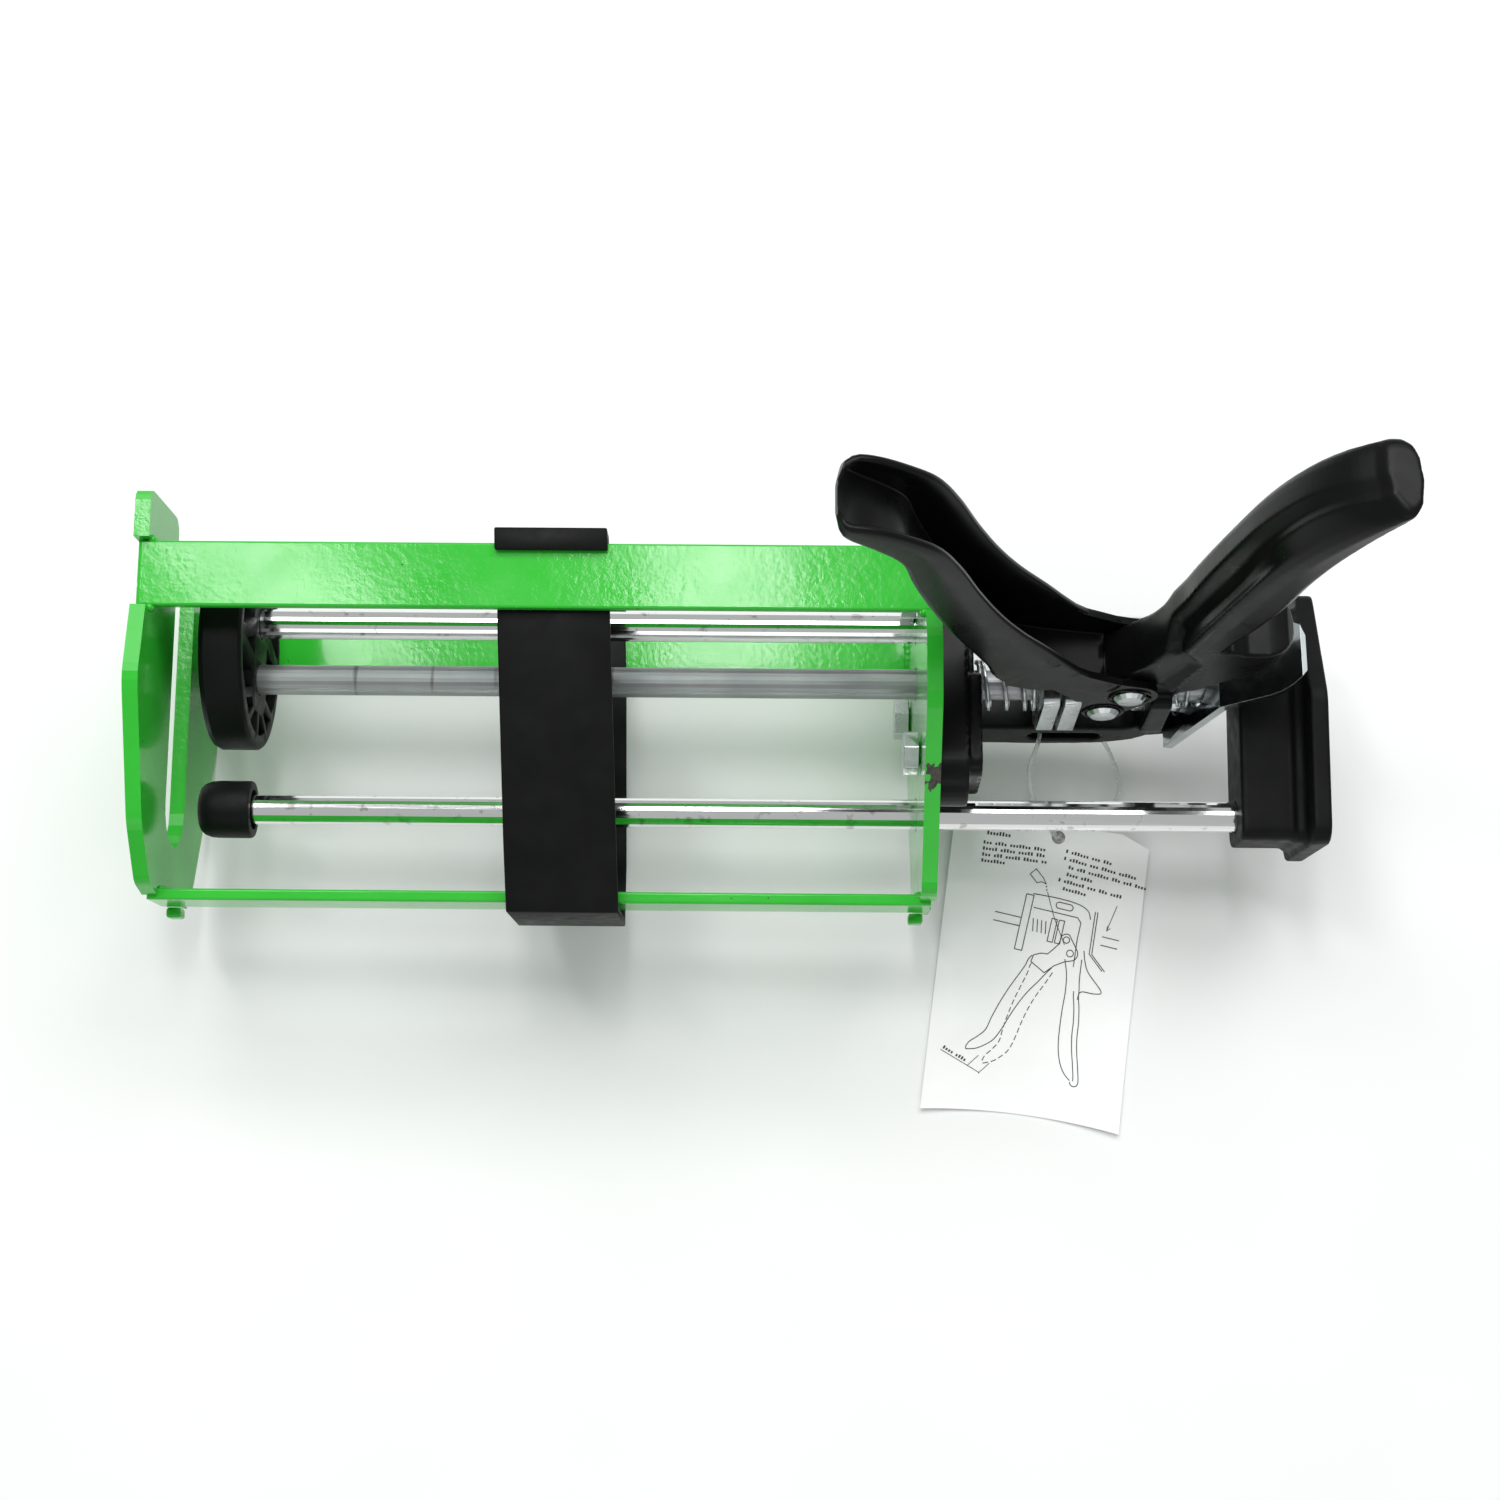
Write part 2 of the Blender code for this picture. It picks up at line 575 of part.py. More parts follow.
def trigger(handle):
    place = (PIVOT[0], 0, PIVOT[1])
    front = trigger_front()
    nose = [(35, 19.8), (38.2, 18), (39.4, 14.8)] + arc(PUSH_PIN, PUSH_NOSE, 180, 290, 5)
    nose += arc(PIVOT, TRIGGER_BOSS, -35, 50, 4)
    tip = [(-23.5, 127.2), (-27.6, 126.4)]
    outline = front + nose + trigger_back() + tip
    body = add("trigger", prism("y", outline, -TRIGGER_HALF, TRIGGER_HALF), "black_cast", handle, place)
    floor = offset(front, TRIGGER_WALL)
    floor[0] = (-26, 124.6)
    hollow = floor + [(28, -8), (64, -8), (64, 30), (30, 70), (5, 115), (-12, 140), (-20, 140), (-22.5, 126)]
    half = TRIGGER_HALF - TRIGGER_WALL
    cut(body, prism("y", hollow, -half, half))
    cut(body, hole(3.0 + GAP, -12, 12, PIVOT, "y", 16))
    cut(body, hole(2.5 + GAP, -12, 12, PUSH_PIN, "y", 16))


def drive_plates(handle):
    outline = rounded([(10.3, -15, 2), (10.3, 14.5, 2), (-10.3, 14.5, 2), (-10.3, -15, 2)])
    for name, start in DRIVE_PLATES.items():
        plate = add(name, prism("x", outline, start, start + DRIVE_PLATE_THICK), "zinc", handle)
        cut(plate, hole(ROD_HOLE, start - 1, start + DRIVE_PLATE_THICK + 1))


def springs(handle):
    first_plate = min(DRIVE_PLATES.values())
    wire("drive_spring", helix(FLANGE_BACK + 1, first_plate - 1, 6.1, 5), 0.65, "zinc", handle, 1)
    wire("release_spring", helix(WALL_BACK + 1, 68.0, 5.9, 3), 0.55, "zinc", handle, 1)


def release_lever(handle):
    place = (LEVER_HEEL[0], 0, LEVER_HEEL[1])
    line = [LEVER_HEEL, LEVER_BEND, LEVER_TIP]
    side = prism("y", ribbon_square(line, LEVER_THICK), -LEVER_HALF, LEVER_HALF)
    lever = add("release_lever", side, "zinc", handle, place)
    cut(lever, hole(ROD_HOLE + 0.8, 60, 82))
    cut(lever, hole(3.6, 60, 82, (0, ADJUSTER_Z), segments=12))
    for sign in (-1, 1):
        cut(lever, corner_cutter(sign))


def corner_cutter(sign):
    """What is cut from one corner of the lever's tab to leave its round end."""
    reach = LEVER_TIP[0] + 2
    start = reach - LEVER_HALF
    curve = [(start + LEVER_HALF * math.sin(a), sign * LEVER_HALF * math.cos(a))
             for a in (math.radians(d) for d in range(0, 91, 15))]
    outline = curve + [(reach + 3, 0), (reach + 3, sign * (LEVER_HALF + 2)), (start, sign * (LEVER_HALF + 2))]
    bm = bmesh.new()
    ring = [bm.verts.new((x, y, 5)) for x, y in outline]
    grown = bmesh.ops.extrude_face_region(bm, geom=[bm.faces.new(ring)])
    moved = [item for item in grown["geom"] if isinstance(item, bmesh.types.BMVert)]
    bmesh.ops.translate(bm, verts=moved, vec=(0, 0, 40))
    bmesh.ops.recalc_face_normals(bm, faces=bm.faces)
    return bm


def adjuster(handle):
    centre = (0, 0, ADJUSTER_Z)
    shank = [(WALL_FRONT - 2, 2.0), (WALL_FRONT - 1.5, 2.5), (75, 2.5), (75.4, 2.1)]
    add("adjusting_screw", turned(shank, 12, centre), "zinc", handle, centre)
    profile = turned([(72.2, 4.2), (76.4, 4.2), (78, 3.0)], 20, centre)
    cap = add("adjuster_cap", profile, "black_plastic", handle, centre)
    cut(cap, hole(2.5 + GAP, 71, 75.7, (0, ADJUSTER_Z), segments=12))


# --------------------------------------------------------------------- tag
def on_card(across, down, height=0.0):
    """A place on the card's underside, from its left edge and its top edge, as the warped card lies."""
    width, length = TAG_SIZE
    up = 1 - down / length
    side = 2 * across / width - 1
    lift = TAG_LIFT * up ** 2 + 1.6 * (1 - up) ** 4 * side ** 2
    x = across - width / 2
    y = length / 2 - down + 2.0 * (1 - side ** 2) * (1 - up) ** 3
    cos, sin = math.cos(TAG_TURN), math.sin(TAG_TURN)
    place = (TAG_CENTRE[0] + x * cos - y * sin, TAG_CENTRE[1] + x * sin + y * cos)
    return Vector((*place, -TABLE_Z + lift + height))


def card_grid(bm, height, rows, columns):
    """One face of the card as rows of vertices, with its clipped top corner."""
    grid = []
    for i in range(rows + 1):
        line = []
        for j in range(columns + 1):
            across = TAG_SIZE[0] * j / columns
            top = 3.4 * max(0.0, (across - TAG_SIZE[0] + 8) / 8)
            line.append(bm.verts.new(on_card(across, top + (TAG_SIZE[1] - top) * i / rows, height)))
        grid.append(line)
    return grid


def hang_tag(gun):
    """A warped card that lies on the table, its top end lifted by the loop through its hole."""
    rows, columns = 16, 14
    bm = bmesh.new()
    low = card_grid(bm, 0, rows, columns)
    high = card_grid(bm, TAG_THICK, rows, columns)
    for i in range(rows):
        for j in range(columns):
            for grid in (low, high):
                bm.faces.new((grid[i][j], grid[i][j + 1], grid[i + 1][j + 1], grid[i + 1][j]))
    rim = [(0, j) for j in range(columns)] + [(i, columns) for i in range(rows)]
    rim += [(rows, j) for j in range(columns, 0, -1)] + [(i, 0) for i in range(rows, 0, -1)]
    for here, there in zip(rim, rim[1:] + rim[:1]):
        corners = (low[here[0]][here[1]], low[there[0]][there[1]])
        bm.faces.new((*corners, high[there[0]][there[1]], high[here[0]][here[1]]))
    bmesh.ops.recalc_face_normals(bm, faces=bm.faces)
    tag = add("hang_tag", bm, "white_card", gun)
    punch = bmesh.new()
    bmesh.ops.create_cone(punch, cap_ends=True, segments=20, radius1=1.9, radius2=1.9, depth=12,
                          matrix=Matrix.Translation(tag_hole()))
    cut(tag, punch)


def tag_hole():
    """The middle of the tag's hole in the design frame."""
    return on_card(29.5, 3.2)


def spline_3d(points, per_span):
    """A Catmull-Rom curve in space through an open row of points."""
    return smooth(points, per_span)


def tag_loop(gun):
    """From its lock through the bow's slot, down through the tag's hole, and back under the bow."""
    hole_x, hole_y, _ = tag_hole()
    table = -TABLE_Z
    route = [
        (32, 8.6, -24.6), (32, 0, -23.6), (31.4, -10, -23.4), (29.2, -17, -26.5), (30, -23, -33),
        (32.5, -27, -38.5), (35.5, hole_y + 3.4, table + 5.4), (hole_x - 0.3, hole_y - 0.3, table + 2.9),
        (hole_x + 1.8, hole_y + 2.2, table + 1.0), (hole_x + 8, hole_y + 5.0, table + 1.2),
        (53, -27, table + 3), (55.5, -20, table + 5.5), (52, -10, table + 7.2),
        (44, 3, table + 7.6), (36, 12.5, table + 8.2), (31.8, 17.6, table + 13), (31.2, 17.8, table + 18.4),
        (31, 15.6, table + 19.3),
    ]
    wire("tag_loop", spline_3d(route, 4), LOOP_RADIUS, "clear_nylon", gun)
    lock = turned([(8.9, 1.4), (9.5, 1.9), (14.7, 1.9), (15.3, 1.4)], 12, (31.2, 0, -25.2), "y")
    add("loop_lock", lock, "clear_nylon", gun)


def build():
    clear_scene()
    gun = empty("gun", None, GUN_PLACE)
    handle = empty("handle_frame", gun)
    handle.rotation_euler.x = -HANDLE_ROLL
    front_plate(gun)
    rear_plate(gun)
    straps(gun)
    cartridge_clip(gun)
    rods(gun)
    pistons(gun)
    rear_yoke(gun)
    handle_casting(handle)
    flange_bolts(handle)
    pin("pivot_pin", handle, PIVOT, 3.0, TRIGGER_HALF + GAP)
    pin("push_pin", handle, PUSH_PIN, 2.5, TRIGGER_HALF + GAP)
    trigger(handle)
    drive_plates(handle)
    springs(handle)
    release_lever(handle)
    adjuster(handle)
    hang_tag(gun)
    tag_loop(gun)


build()
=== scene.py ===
"""The looks of the two-cartridge caulking gun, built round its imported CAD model.

Shapes are worked out in millimetres in one of two frames and then placed in metres: GUN has
its origin on the drive rod's axis at the rear plate's outer face, and HANDLE is GUN rolled
about the drive rod as the handle is. The camera stands where the photograph was taken from.
"""
import json
import math

import bmesh
import bpy
from mathutils import Matrix, Vector


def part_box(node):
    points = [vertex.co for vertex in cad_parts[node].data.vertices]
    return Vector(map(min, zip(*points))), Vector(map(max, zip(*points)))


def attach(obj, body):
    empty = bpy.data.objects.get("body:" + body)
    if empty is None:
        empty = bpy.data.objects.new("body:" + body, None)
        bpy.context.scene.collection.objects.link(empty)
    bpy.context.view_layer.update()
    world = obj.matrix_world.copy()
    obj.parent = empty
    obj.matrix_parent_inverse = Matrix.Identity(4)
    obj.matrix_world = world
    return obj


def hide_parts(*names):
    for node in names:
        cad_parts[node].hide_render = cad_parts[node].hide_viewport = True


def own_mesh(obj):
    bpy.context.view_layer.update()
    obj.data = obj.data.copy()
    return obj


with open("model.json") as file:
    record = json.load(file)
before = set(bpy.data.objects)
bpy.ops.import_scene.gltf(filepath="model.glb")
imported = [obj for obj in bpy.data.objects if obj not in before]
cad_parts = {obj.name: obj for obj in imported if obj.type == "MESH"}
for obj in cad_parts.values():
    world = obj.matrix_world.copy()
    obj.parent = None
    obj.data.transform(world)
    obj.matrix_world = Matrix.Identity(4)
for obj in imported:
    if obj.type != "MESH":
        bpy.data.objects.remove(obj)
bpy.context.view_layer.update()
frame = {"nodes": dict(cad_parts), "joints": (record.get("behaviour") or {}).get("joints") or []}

MM = 0.001


def centre(node):
    """The middle of a CAD node's box."""
    low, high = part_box(node)
    return (low + high) / 2


TRIGGER_AXIS = next(Vector(j["axis"]) for j in frame["joints"] if j["name"] == "trigger_hinge")
ROLL = math.atan2(TRIGGER_AXIS.z, TRIGGER_AXIS.y)
PLATE_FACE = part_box("rear_plate")[1].x
GUN_PLACE = Vector((PLATE_FACE, centre("drive_rod").y, centre("drive_rod").z))
GUN = Matrix.Translation(GUN_PLACE) @ Matrix.Scale(MM, 4)
HANDLE = GUN @ Matrix.Rotation(ROLL, 4, "X")


# --------------------------------------------------------------- materials
CHIP_PLACE = (-1, -31, 38.5)
CHIP_RADIUS = 7.5


class Shader:
    """A material's node tree, with short ways to add and join nodes."""

    def __init__(self, name, colour, roughness, metallic=0.0):
        self.material = bpy.data.materials.new(name)
        self.material.use_nodes = True
        self.tree = self.material.node_tree
        self.bsdf = self.tree.nodes["Principled BSDF"]
        self.set(self.bsdf,
                 {"Base Color": (*colour, 1), "Roughness": roughness, "Metallic": metallic})
        self.coords = self.node("ShaderNodeTexCoord").outputs["Object"]

    def set(self, node, values):
        """Gives the node's inputs their values, by name."""
        for socket, value in values.items():
            node.inputs[socket].default_value = value

    def node(self, kind, **settings):
        made = self.tree.nodes.new(kind)
        for key, value in settings.items():
            setattr(made, key, value)
        return made

    def link(self, source, target):
        self.tree.links.new(source, target)

    def noise(self, size_mm, detail=3.0, stretch=(1, 1, 1), roughness=0.5):
        """Noise whose features are about size_mm across, from 0 to 1."""
        mapping = self.node("ShaderNodeMapping")
        mapping.inputs["Scale"].default_value = stretch
        self.link(self.coords, mapping.inputs["Vector"])
        noise = self.node("ShaderNodeTexNoise")
        self.set(noise, {"Scale": 1 / (size_mm * MM), "Detail": detail, "Roughness": roughness})
        self.link(mapping.outputs["Vector"], noise.inputs["Vector"])
        return noise.outputs["Fac"]

    def spread(self, source, low, high, from_low=0.3, from_high=0.7):
        """The source's usual range turned into the range from low to high."""
        ranged = self.node("ShaderNodeMapRange")
        self.set(ranged,
                 {"From Min": from_low, "From Max": from_high, "To Min": low, "To Max": high})
        self.link(source, ranged.inputs["Value"])
        return ranged.outputs["Result"]

    def mix(self, factor, first, second):
        """A colour mix. Each of the two is a colour or a socket."""
        mix = self.node("ShaderNodeMix", data_type="RGBA")
        self.link(factor, mix.inputs[0])
        for socket, value in ((mix.inputs[6], first), (mix.inputs[7], second)):
            if isinstance(value, tuple):
                socket.default_value = (*value, 1)
            else:
                self.link(value, socket)
        return mix.outputs[2]

    def bump(self, source, height_mm, previous=None):
        """A normal that stands up by height_mm where the source is 1, over a previous one."""
        bump = self.node("ShaderNodeBump")
        self.set(bump, {"Strength": 1.0, "Distance": height_mm * MM})
        self.link(source, bump.inputs["Height"])
        if previous:
            self.link(previous, bump.inputs["Normal"])
        return bump.outputs["Normal"]

    def colour(self, socket):
        self.link(socket, self.bsdf.inputs["Base Color"])

    def rough(self, socket):
        self.link(socket, self.bsdf.inputs["Roughness"])

    def normal(self, socket):
        self.link(socket, self.bsdf.inputs["Normal"])

    def near(self, place, radius_mm):
        """1 at a place in the shared frame, falling to 0 at the radius."""
        distance = self.node("ShaderNodeVectorMath", operation="DISTANCE")
        distance.inputs[1].default_value = place
        self.link(self.coords, distance.inputs[0])
        return self.spread(distance.outputs["Value"], 1, 0, 0, radius_mm * MM)

    def maths(self, operation, first, second):
        """A sum or the like of two values, each a number or a socket."""
        made = self.node("ShaderNodeMath", operation=operation)
        for socket, value in zip(made.inputs, (first, second)):
            if isinstance(value, (int, float)):
                socket.default_value = value
            else:
                self.link(value, socket)
        return made.outputs[0]


def green_coat():
    """Gloss powder coat with a light orange peel, and bare steel where it has chipped."""
    s = Shader("green_coat", (0.06, 0.46, 0.06), 0.3)
    s.set(s.bsdf, {"Coat Weight": 0.1, "Coat Roughness": 0.05, "Specular IOR Level": 0.22})
    tone = s.mix(s.spread(s.noise(30), 0, 1), (0.026, 0.42, 0.028), (0.034, 0.47, 0.035))
    round_patch = s.near(GUN @ Vector(CHIP_PLACE), CHIP_RADIUS)
    ragged = s.maths("ADD", round_patch, s.spread(s.noise(2.5, 4), -0.5, 0.5))
    chipped = s.spread(ragged, 0, 1, 0.52, 0.56)
    specks = s.spread(s.noise(2.2, 2), 0, 1, 0.76, 0.785)
    steel = s.mix(s.spread(s.noise(1.5), 0, 1), (0.014, 0.014, 0.011), (0.06, 0.055, 0.04))
    s.colour(s.mix(s.maths("MAXIMUM", chipped, specks), tone, steel))
    s.rough(s.spread(s.noise(8), 0.10, 0.16))
    peel = s.bump(s.noise(1.6, 2), 0.04)
    s.normal(s.bump(chipped, -0.08, peel))
    return s.material


def black_cast():
    """Semi-matte black coating on a casting, with fine grain and rubbed places."""
    s = Shader("black_cast", (0.012, 0.012, 0.013), 0.45)
    s.set(s.bsdf, {"Specular IOR Level": 0.15})
    rubbed = s.spread(s.noise(14, 4), 0, 1)
    s.colour(s.mix(rubbed, (0.0022, 0.0022, 0.0024), (0.0045, 0.0045, 0.005)))
    s.rough(s.spread(s.noise(9, 4), 0.26, 0.36))
    s.normal(s.bump(s.noise(0.5, 2), 0.006))
    return s.material


def black_plastic():
    """Moulded black plastic with a faint grain and dust."""
    s = Shader("black_plastic", (0.006, 0.006, 0.007), 0.55)
    s.set(s.bsdf, {"Specular IOR Level": 0.12})
    dust = s.spread(s.noise(9, 5), 0, 1)
    s.colour(s.mix(dust, (0.003, 0.003, 0.0032), (0.006, 0.006, 0.0065)))
    s.rough(s.spread(s.noise(4, 4), 0.42, 0.56))
    s.normal(s.bump(s.noise(0.6, 2), 0.015))
    return s.material


def chrome():
    """Bright plated rod with faint lengthwise polishing lines and small marks."""
    s = Shader("chrome", (0.82, 0.82, 0.82), 0.08, 1.0)
    lines = s.noise(0.5, 4, (0.02, 1, 1))
    marks = s.spread(s.noise(3.5, 5), 0, 1, 0.62, 0.70)
    s.colour(s.mix(marks, (0.84, 0.84, 0.84), (0.55, 0.54, 0.52)))
    s.rough(s.spread(lines, 0.05, 0.14))
    s.normal(s.bump(lines, 0.003))
    return s.material


def grey_steel():
    """Unplated drawn steel, dull, with the marks that the drive plates leave across it."""
    s = Shader("grey_steel", (0.30, 0.31, 0.32), 0.4, 1.0)
    along = s.noise(0.6, 4, (0.03, 1, 1))
    bites = s.spread(s.noise(4.5, 3, (1, 0.1, 0.1)), 0, 1, 0.66, 0.72)
    tone = s.mix(s.spread(s.noise(22, 4), 0, 1), (0.26, 0.27, 0.28), (0.38, 0.39, 0.40))
    s.colour(s.mix(bites, tone, (0.16, 0.16, 0.16)))
    s.rough(s.spread(along, 0.33, 0.5))
    s.normal(s.bump(along, 0.01))
    return s.material


def zinc():
    """Bright zinc plate with a cool, slightly clouded sheen."""
    s = Shader("zinc", (0.60, 0.63, 0.65), 0.3, 1.0)
    s.colour(s.mix(s.spread(s.noise(5, 5), 0, 1), (0.52, 0.56, 0.58), (0.70, 0.71, 0.71)))
    s.rough(s.spread(s.noise(2.5, 4), 0.22, 0.4))
    s.normal(s.bump(s.noise(0.8, 3), 0.012))
    return s.material


def polished_zinc():
    """Zinc plate smooth enough to mirror what stands over it."""
    s = Shader("polished_zinc", (0.60, 0.64, 0.65), 0.12, 1.0)
    s.colour(s.mix(s.spread(s.noise(6, 4), 0, 1), (0.54, 0.59, 0.60), (0.68, 0.71, 0.71)))
    s.rough(s.spread(s.noise(3, 4), 0.10, 0.20))
    s.normal(s.bump(s.noise(1.2, 3), 0.006))
    return s.material


def white_card():
    """Coated white card with the slightest mottle."""
    s = Shader("white_card", (0.86, 0.86, 0.86), 0.5)
    s.colour(s.mix(s.spread(s.noise(12, 4), 0, 1), (0.93, 0.93, 0.93), (0.96, 0.96, 0.955)))
    s.rough(s.spread(s.noise(4), 0.45, 0.6))
    s.normal(s.bump(s.noise(1.0, 4), 0.006))
    return s.material


def tag_ink():
    """Matt black printing ink."""
    s = Shader("tag_ink", (0.02, 0.02, 0.02), 0.6)
    s.colour(s.mix(s.spread(s.noise(0.6, 3), 0, 1), (0.015, 0.015, 0.015), (0.05, 0.05, 0.05)))
    return s.material


def clear_nylon():
    """Clear nylon filament, a little milky."""
    s = Shader("clear_nylon", (0.86, 0.88, 0.88), 0.22)
    s.set(s.bsdf, {"Transmission Weight": 0.75, "IOR": 1.53})
    s.rough(s.spread(s.noise(2), 0.16, 0.3))
    return s.material


MATERIALS = {make.__name__: make() for make in (
    green_coat, black_cast, black_plastic, chrome, grey_steel, zinc, polished_zinc, white_card,
    tag_ink, clear_nylon)}


# ------------------------------------------------------ camera, floor, light
SENSOR_MM = 36
LENS_MM = 59.86
CAMERA_PLACE = (-42.6, -135.9, 653.1)
CAMERA_TILT_DEG = 10.228
CAMERA_YAW_DEG = 0.39
CAMERA_ROLL_DEG = 0.45
FLOOR_SIZE = 6
SKY_COLOUR = (0.96, 1.0, 0.98, 1)
SKY_STRENGTH = 0.5
# Name, place, what it points at, size and watts, in metres.
LAMPS = (
    ("lamp_left", (-0.37, 0.335, 1.28), (-0.1, 0, 0), (0.11, 0.32), 2.2),
    ("lamp_middle", (-0.03, 0.335, 1.28), (0, 0, 0), (0.11, 0.32), 2.6),
    ("key", (0.08, 0.85, 1.25), (0, 0, 0), (1.6, 0.6), 15),
    ("fill", (0, -1.2, 0.9), (0, -0.3, 0), (1.6, 0.5), 2.5),
)


def make_camera():
    """Above the carriage's open corner, looking down and a little towards +Y."""
    data = bpy.data.cameras.new("camera")
    data.sensor_width = SENSOR_MM
    data.lens = LENS_MM
    data.clip_start = 0.01
    camera = bpy.data.objects.new("camera", data)
    bpy.context.scene.collection.objects.link(camera)
    camera.location = GUN @ Vector(CAMERA_PLACE)
    tilt = Matrix.Rotation(math.radians(CAMERA_TILT_DEG), 4, "X")
    yaw = Matrix.Rotation(math.radians(CAMERA_YAW_DEG), 4, "Y")
    roll = Matrix.Rotation(math.radians(CAMERA_ROLL_DEG), 4, "Z")
    camera.rotation_euler = (roll @ tilt @ yaw).to_euler()
    bpy.context.scene.camera = camera


def floor_material():
    """A plain pale sheet."""
    s = Shader("floor_paper", (0.9, 0.9, 0.9), 0.6)
    s.colour(s.mix(s.spread(s.noise(60, 2), 0, 1), (0.86, 0.865, 0.86), (0.88, 0.885, 0.88)))
    return s.material


def make_floor():
    """The sheet that the gun lies on, which isn't part of it."""
    bpy.ops.mesh.primitive_plane_add(size=FLOOR_SIZE, location=(0, 0, 0))
    floor = bpy.context.object
    floor.name = "floor"
    floor.data.materials.append(floor_material())


def area_light(name, place, target, size, watts):
    """A rectangular lamp at a place, pointed at a target."""
    data = bpy.data.lights.new(name, "AREA")
    data.shape = "RECTANGLE"
    data.size, data.size_y = size
    data.energy = watts
    light = bpy.data.objects.new(name, data)
    bpy.context.scene.collection.objects.link(light)
    light.location = place
    light.rotation_euler = (Vector(target) - Vector(place)).to_track_quat("-Z", "Y").to_euler()


def make_light():
    """Two small lamps, which the gloss coat reflects, a wide key, a weak fill and a pale sky."""
    world = bpy.data.worlds.new("studio")
    bpy.context.scene.world = world
    world.use_nodes = True
    sky = world.node_tree.nodes["Background"].inputs
    sky["Color"].default_value = SKY_COLOUR
    sky["Strength"].default_value = SKY_STRENGTH
    for lamp in LAMPS:
        area_light(*lamp)
    bpy.context.scene.view_settings.view_transform = "Standard"


# ------------------------------------------------------------------ shapes
def smooth(points, per_span=3):
    """A Catmull-Rom curve through an open row of points."""
    ends = [points[0]] + list(points) + [points[-1]]
    curve = []
    for i in range(1, len(ends) - 2):
        a, b, c, d = (Vector(ends[j]) for j in range(i - 1, i + 3))
        for k in range(per_span):
            t = k / per_span
            curve.append(tuple(0.5 * (2 * b + (c - a) * t + (2 * a - 5 * b + 4 * c - d) * t ** 2
                                      + (3 * b - a - 3 * c + d) * t ** 3)))
    curve.append(tuple(points[-1]))
    return curve


def resample(points, count):
    """Evenly spaced points along an open row of points."""
    lengths = [0.0]
    for here, there in zip(points, points[1:]):
        lengths.append(lengths[-1] + (Vector(there) - Vector(here)).length)
    spaced = []
    index = 0
    for i in range(count):
        wanted = lengths[-1] * i / (count - 1)
        while index < len(points) - 2 and lengths[index + 1] < wanted:
            index += 1
        part = (wanted - lengths[index]) / (lengths[index + 1] - lengths[index])
        spaced.append(Vector(points[index]).lerp(Vector(points[index + 1]), part))
    return spaced


def arc(middle, radius, start_deg, end_deg, steps):
    """Points along an arc, both ends included."""
    points = []
    for i in range(steps + 1):
        angle = math.radians(start_deg + (end_deg - start_deg) * i / steps)
        points.append((middle[0] + radius * math.cos(angle), middle[1] + radius * math.sin(angle)))
    return points


def ease(value):
    """A smooth step from 0 to 1."""
    value = min(max(value, 0.0), 1.0)
    return value * value * (3 - 2 * value)


def loft(rings):
    """A closed bmesh through rings of equally many points, with both ends filled."""
    bm = bmesh.new()
    rows = [[bm.verts.new(point) for point in ring] for ring in rings]
    for lower, upper in zip(rows, rows[1:]):
        for i in range(len(lower)):
            j = (i + 1) % len(lower)
            bm.faces.new((lower[i], lower[j], upper[j], upper[i]))
    bm.faces.new(rows[0])
    bm.faces.new(rows[-1])
    bmesh.ops.recalc_face_normals(bm, faces=bm.faces)
    return bm


def prism(outline, low, high, axis="y"):
    """A bmesh prism along y from an (x, z) outline, or along x from a (y, z) outline."""
    if axis == "y":
        return loft([[(u, along, v) for u, v in outline] for along in (low, high)])
    return loft([[(along, u, v) for u, v in outline] for along in (low, high)])


def rod(radius, low, high, place=(0, 0), axis="x", segments=32):
    """A bmesh cylinder along x at (y, z), or along y at (x, z)."""
    return prism(arc(place, radius, 0, 360 - 360 / segments, segments - 1), low, high, axis)


def raw(name, bm, matrix):
    """An object from a bmesh in the matrix's frame, with its vertices in the shared frame."""
    bmesh.ops.transform(bm, matrix=matrix, verts=bm.verts)
    mesh = bpy.data.meshes.new(name)
    bm.to_mesh(mesh)
    bm.free()
    obj = bpy.data.objects.new(name, mesh)
    bpy.context.scene.collection.objects.link(obj)
    return obj


def bake(obj):
    """Puts the result of the object's modifiers into its mesh."""
    graph = bpy.context.evaluated_depsgraph_get()
    graph.update()
    mesh = bpy.data.meshes.new_from_object(obj.evaluated_get(graph))
    obj.modifiers.clear()
    obj.data = mesh


def boolean(obj, tool, operation):
    """Joins the tool object to the object, or cuts with it, and then removes the tool."""
    modifier = obj.modifiers.new(operation, "BOOLEAN")
    modifier.operation = operation
    modifier.solver = "EXACT"
    modifier.object = tool
    bake(obj)
    bpy.data.objects.remove(tool)


def combine(obj, bm, matrix, operation):
    """Joins a bmesh to the object, or cuts it out of the object."""
    boolean(obj, raw("tool", bm, matrix), operation)


def bore(obj, y, holes):
    """Cuts round holes along x at y out of the object: each is (radius, from, to)."""
    for radius, low, high in holes:
        combine(obj, rod(radius, low, high, (y, 0)), GUN, "DIFFERENCE")


def rounded(corners, steps=5):
    """A closed outline from (u, v, radius) corners, each corner turned with its radius."""
    outline = []
    for i, (u, v, radius) in enumerate(corners):
        here = Vector((u, v))
        before = (Vector(corners[i - 1][:2]) - here).normalized()
        after = (Vector(corners[(i + 1) % len(corners)][:2]) - here).normalized()
        half = before.angle(after) / 2
        reach = radius / math.tan(half)
        middle = here + (before + after).normalized() * radius / math.sin(half)
        first = here + before * reach - middle
        last = here + after * reach - middle
        for k in range(steps + 1):
            outline.append(tuple(middle + first.lerp(last, k / steps).normalized() * radius))
    return outline


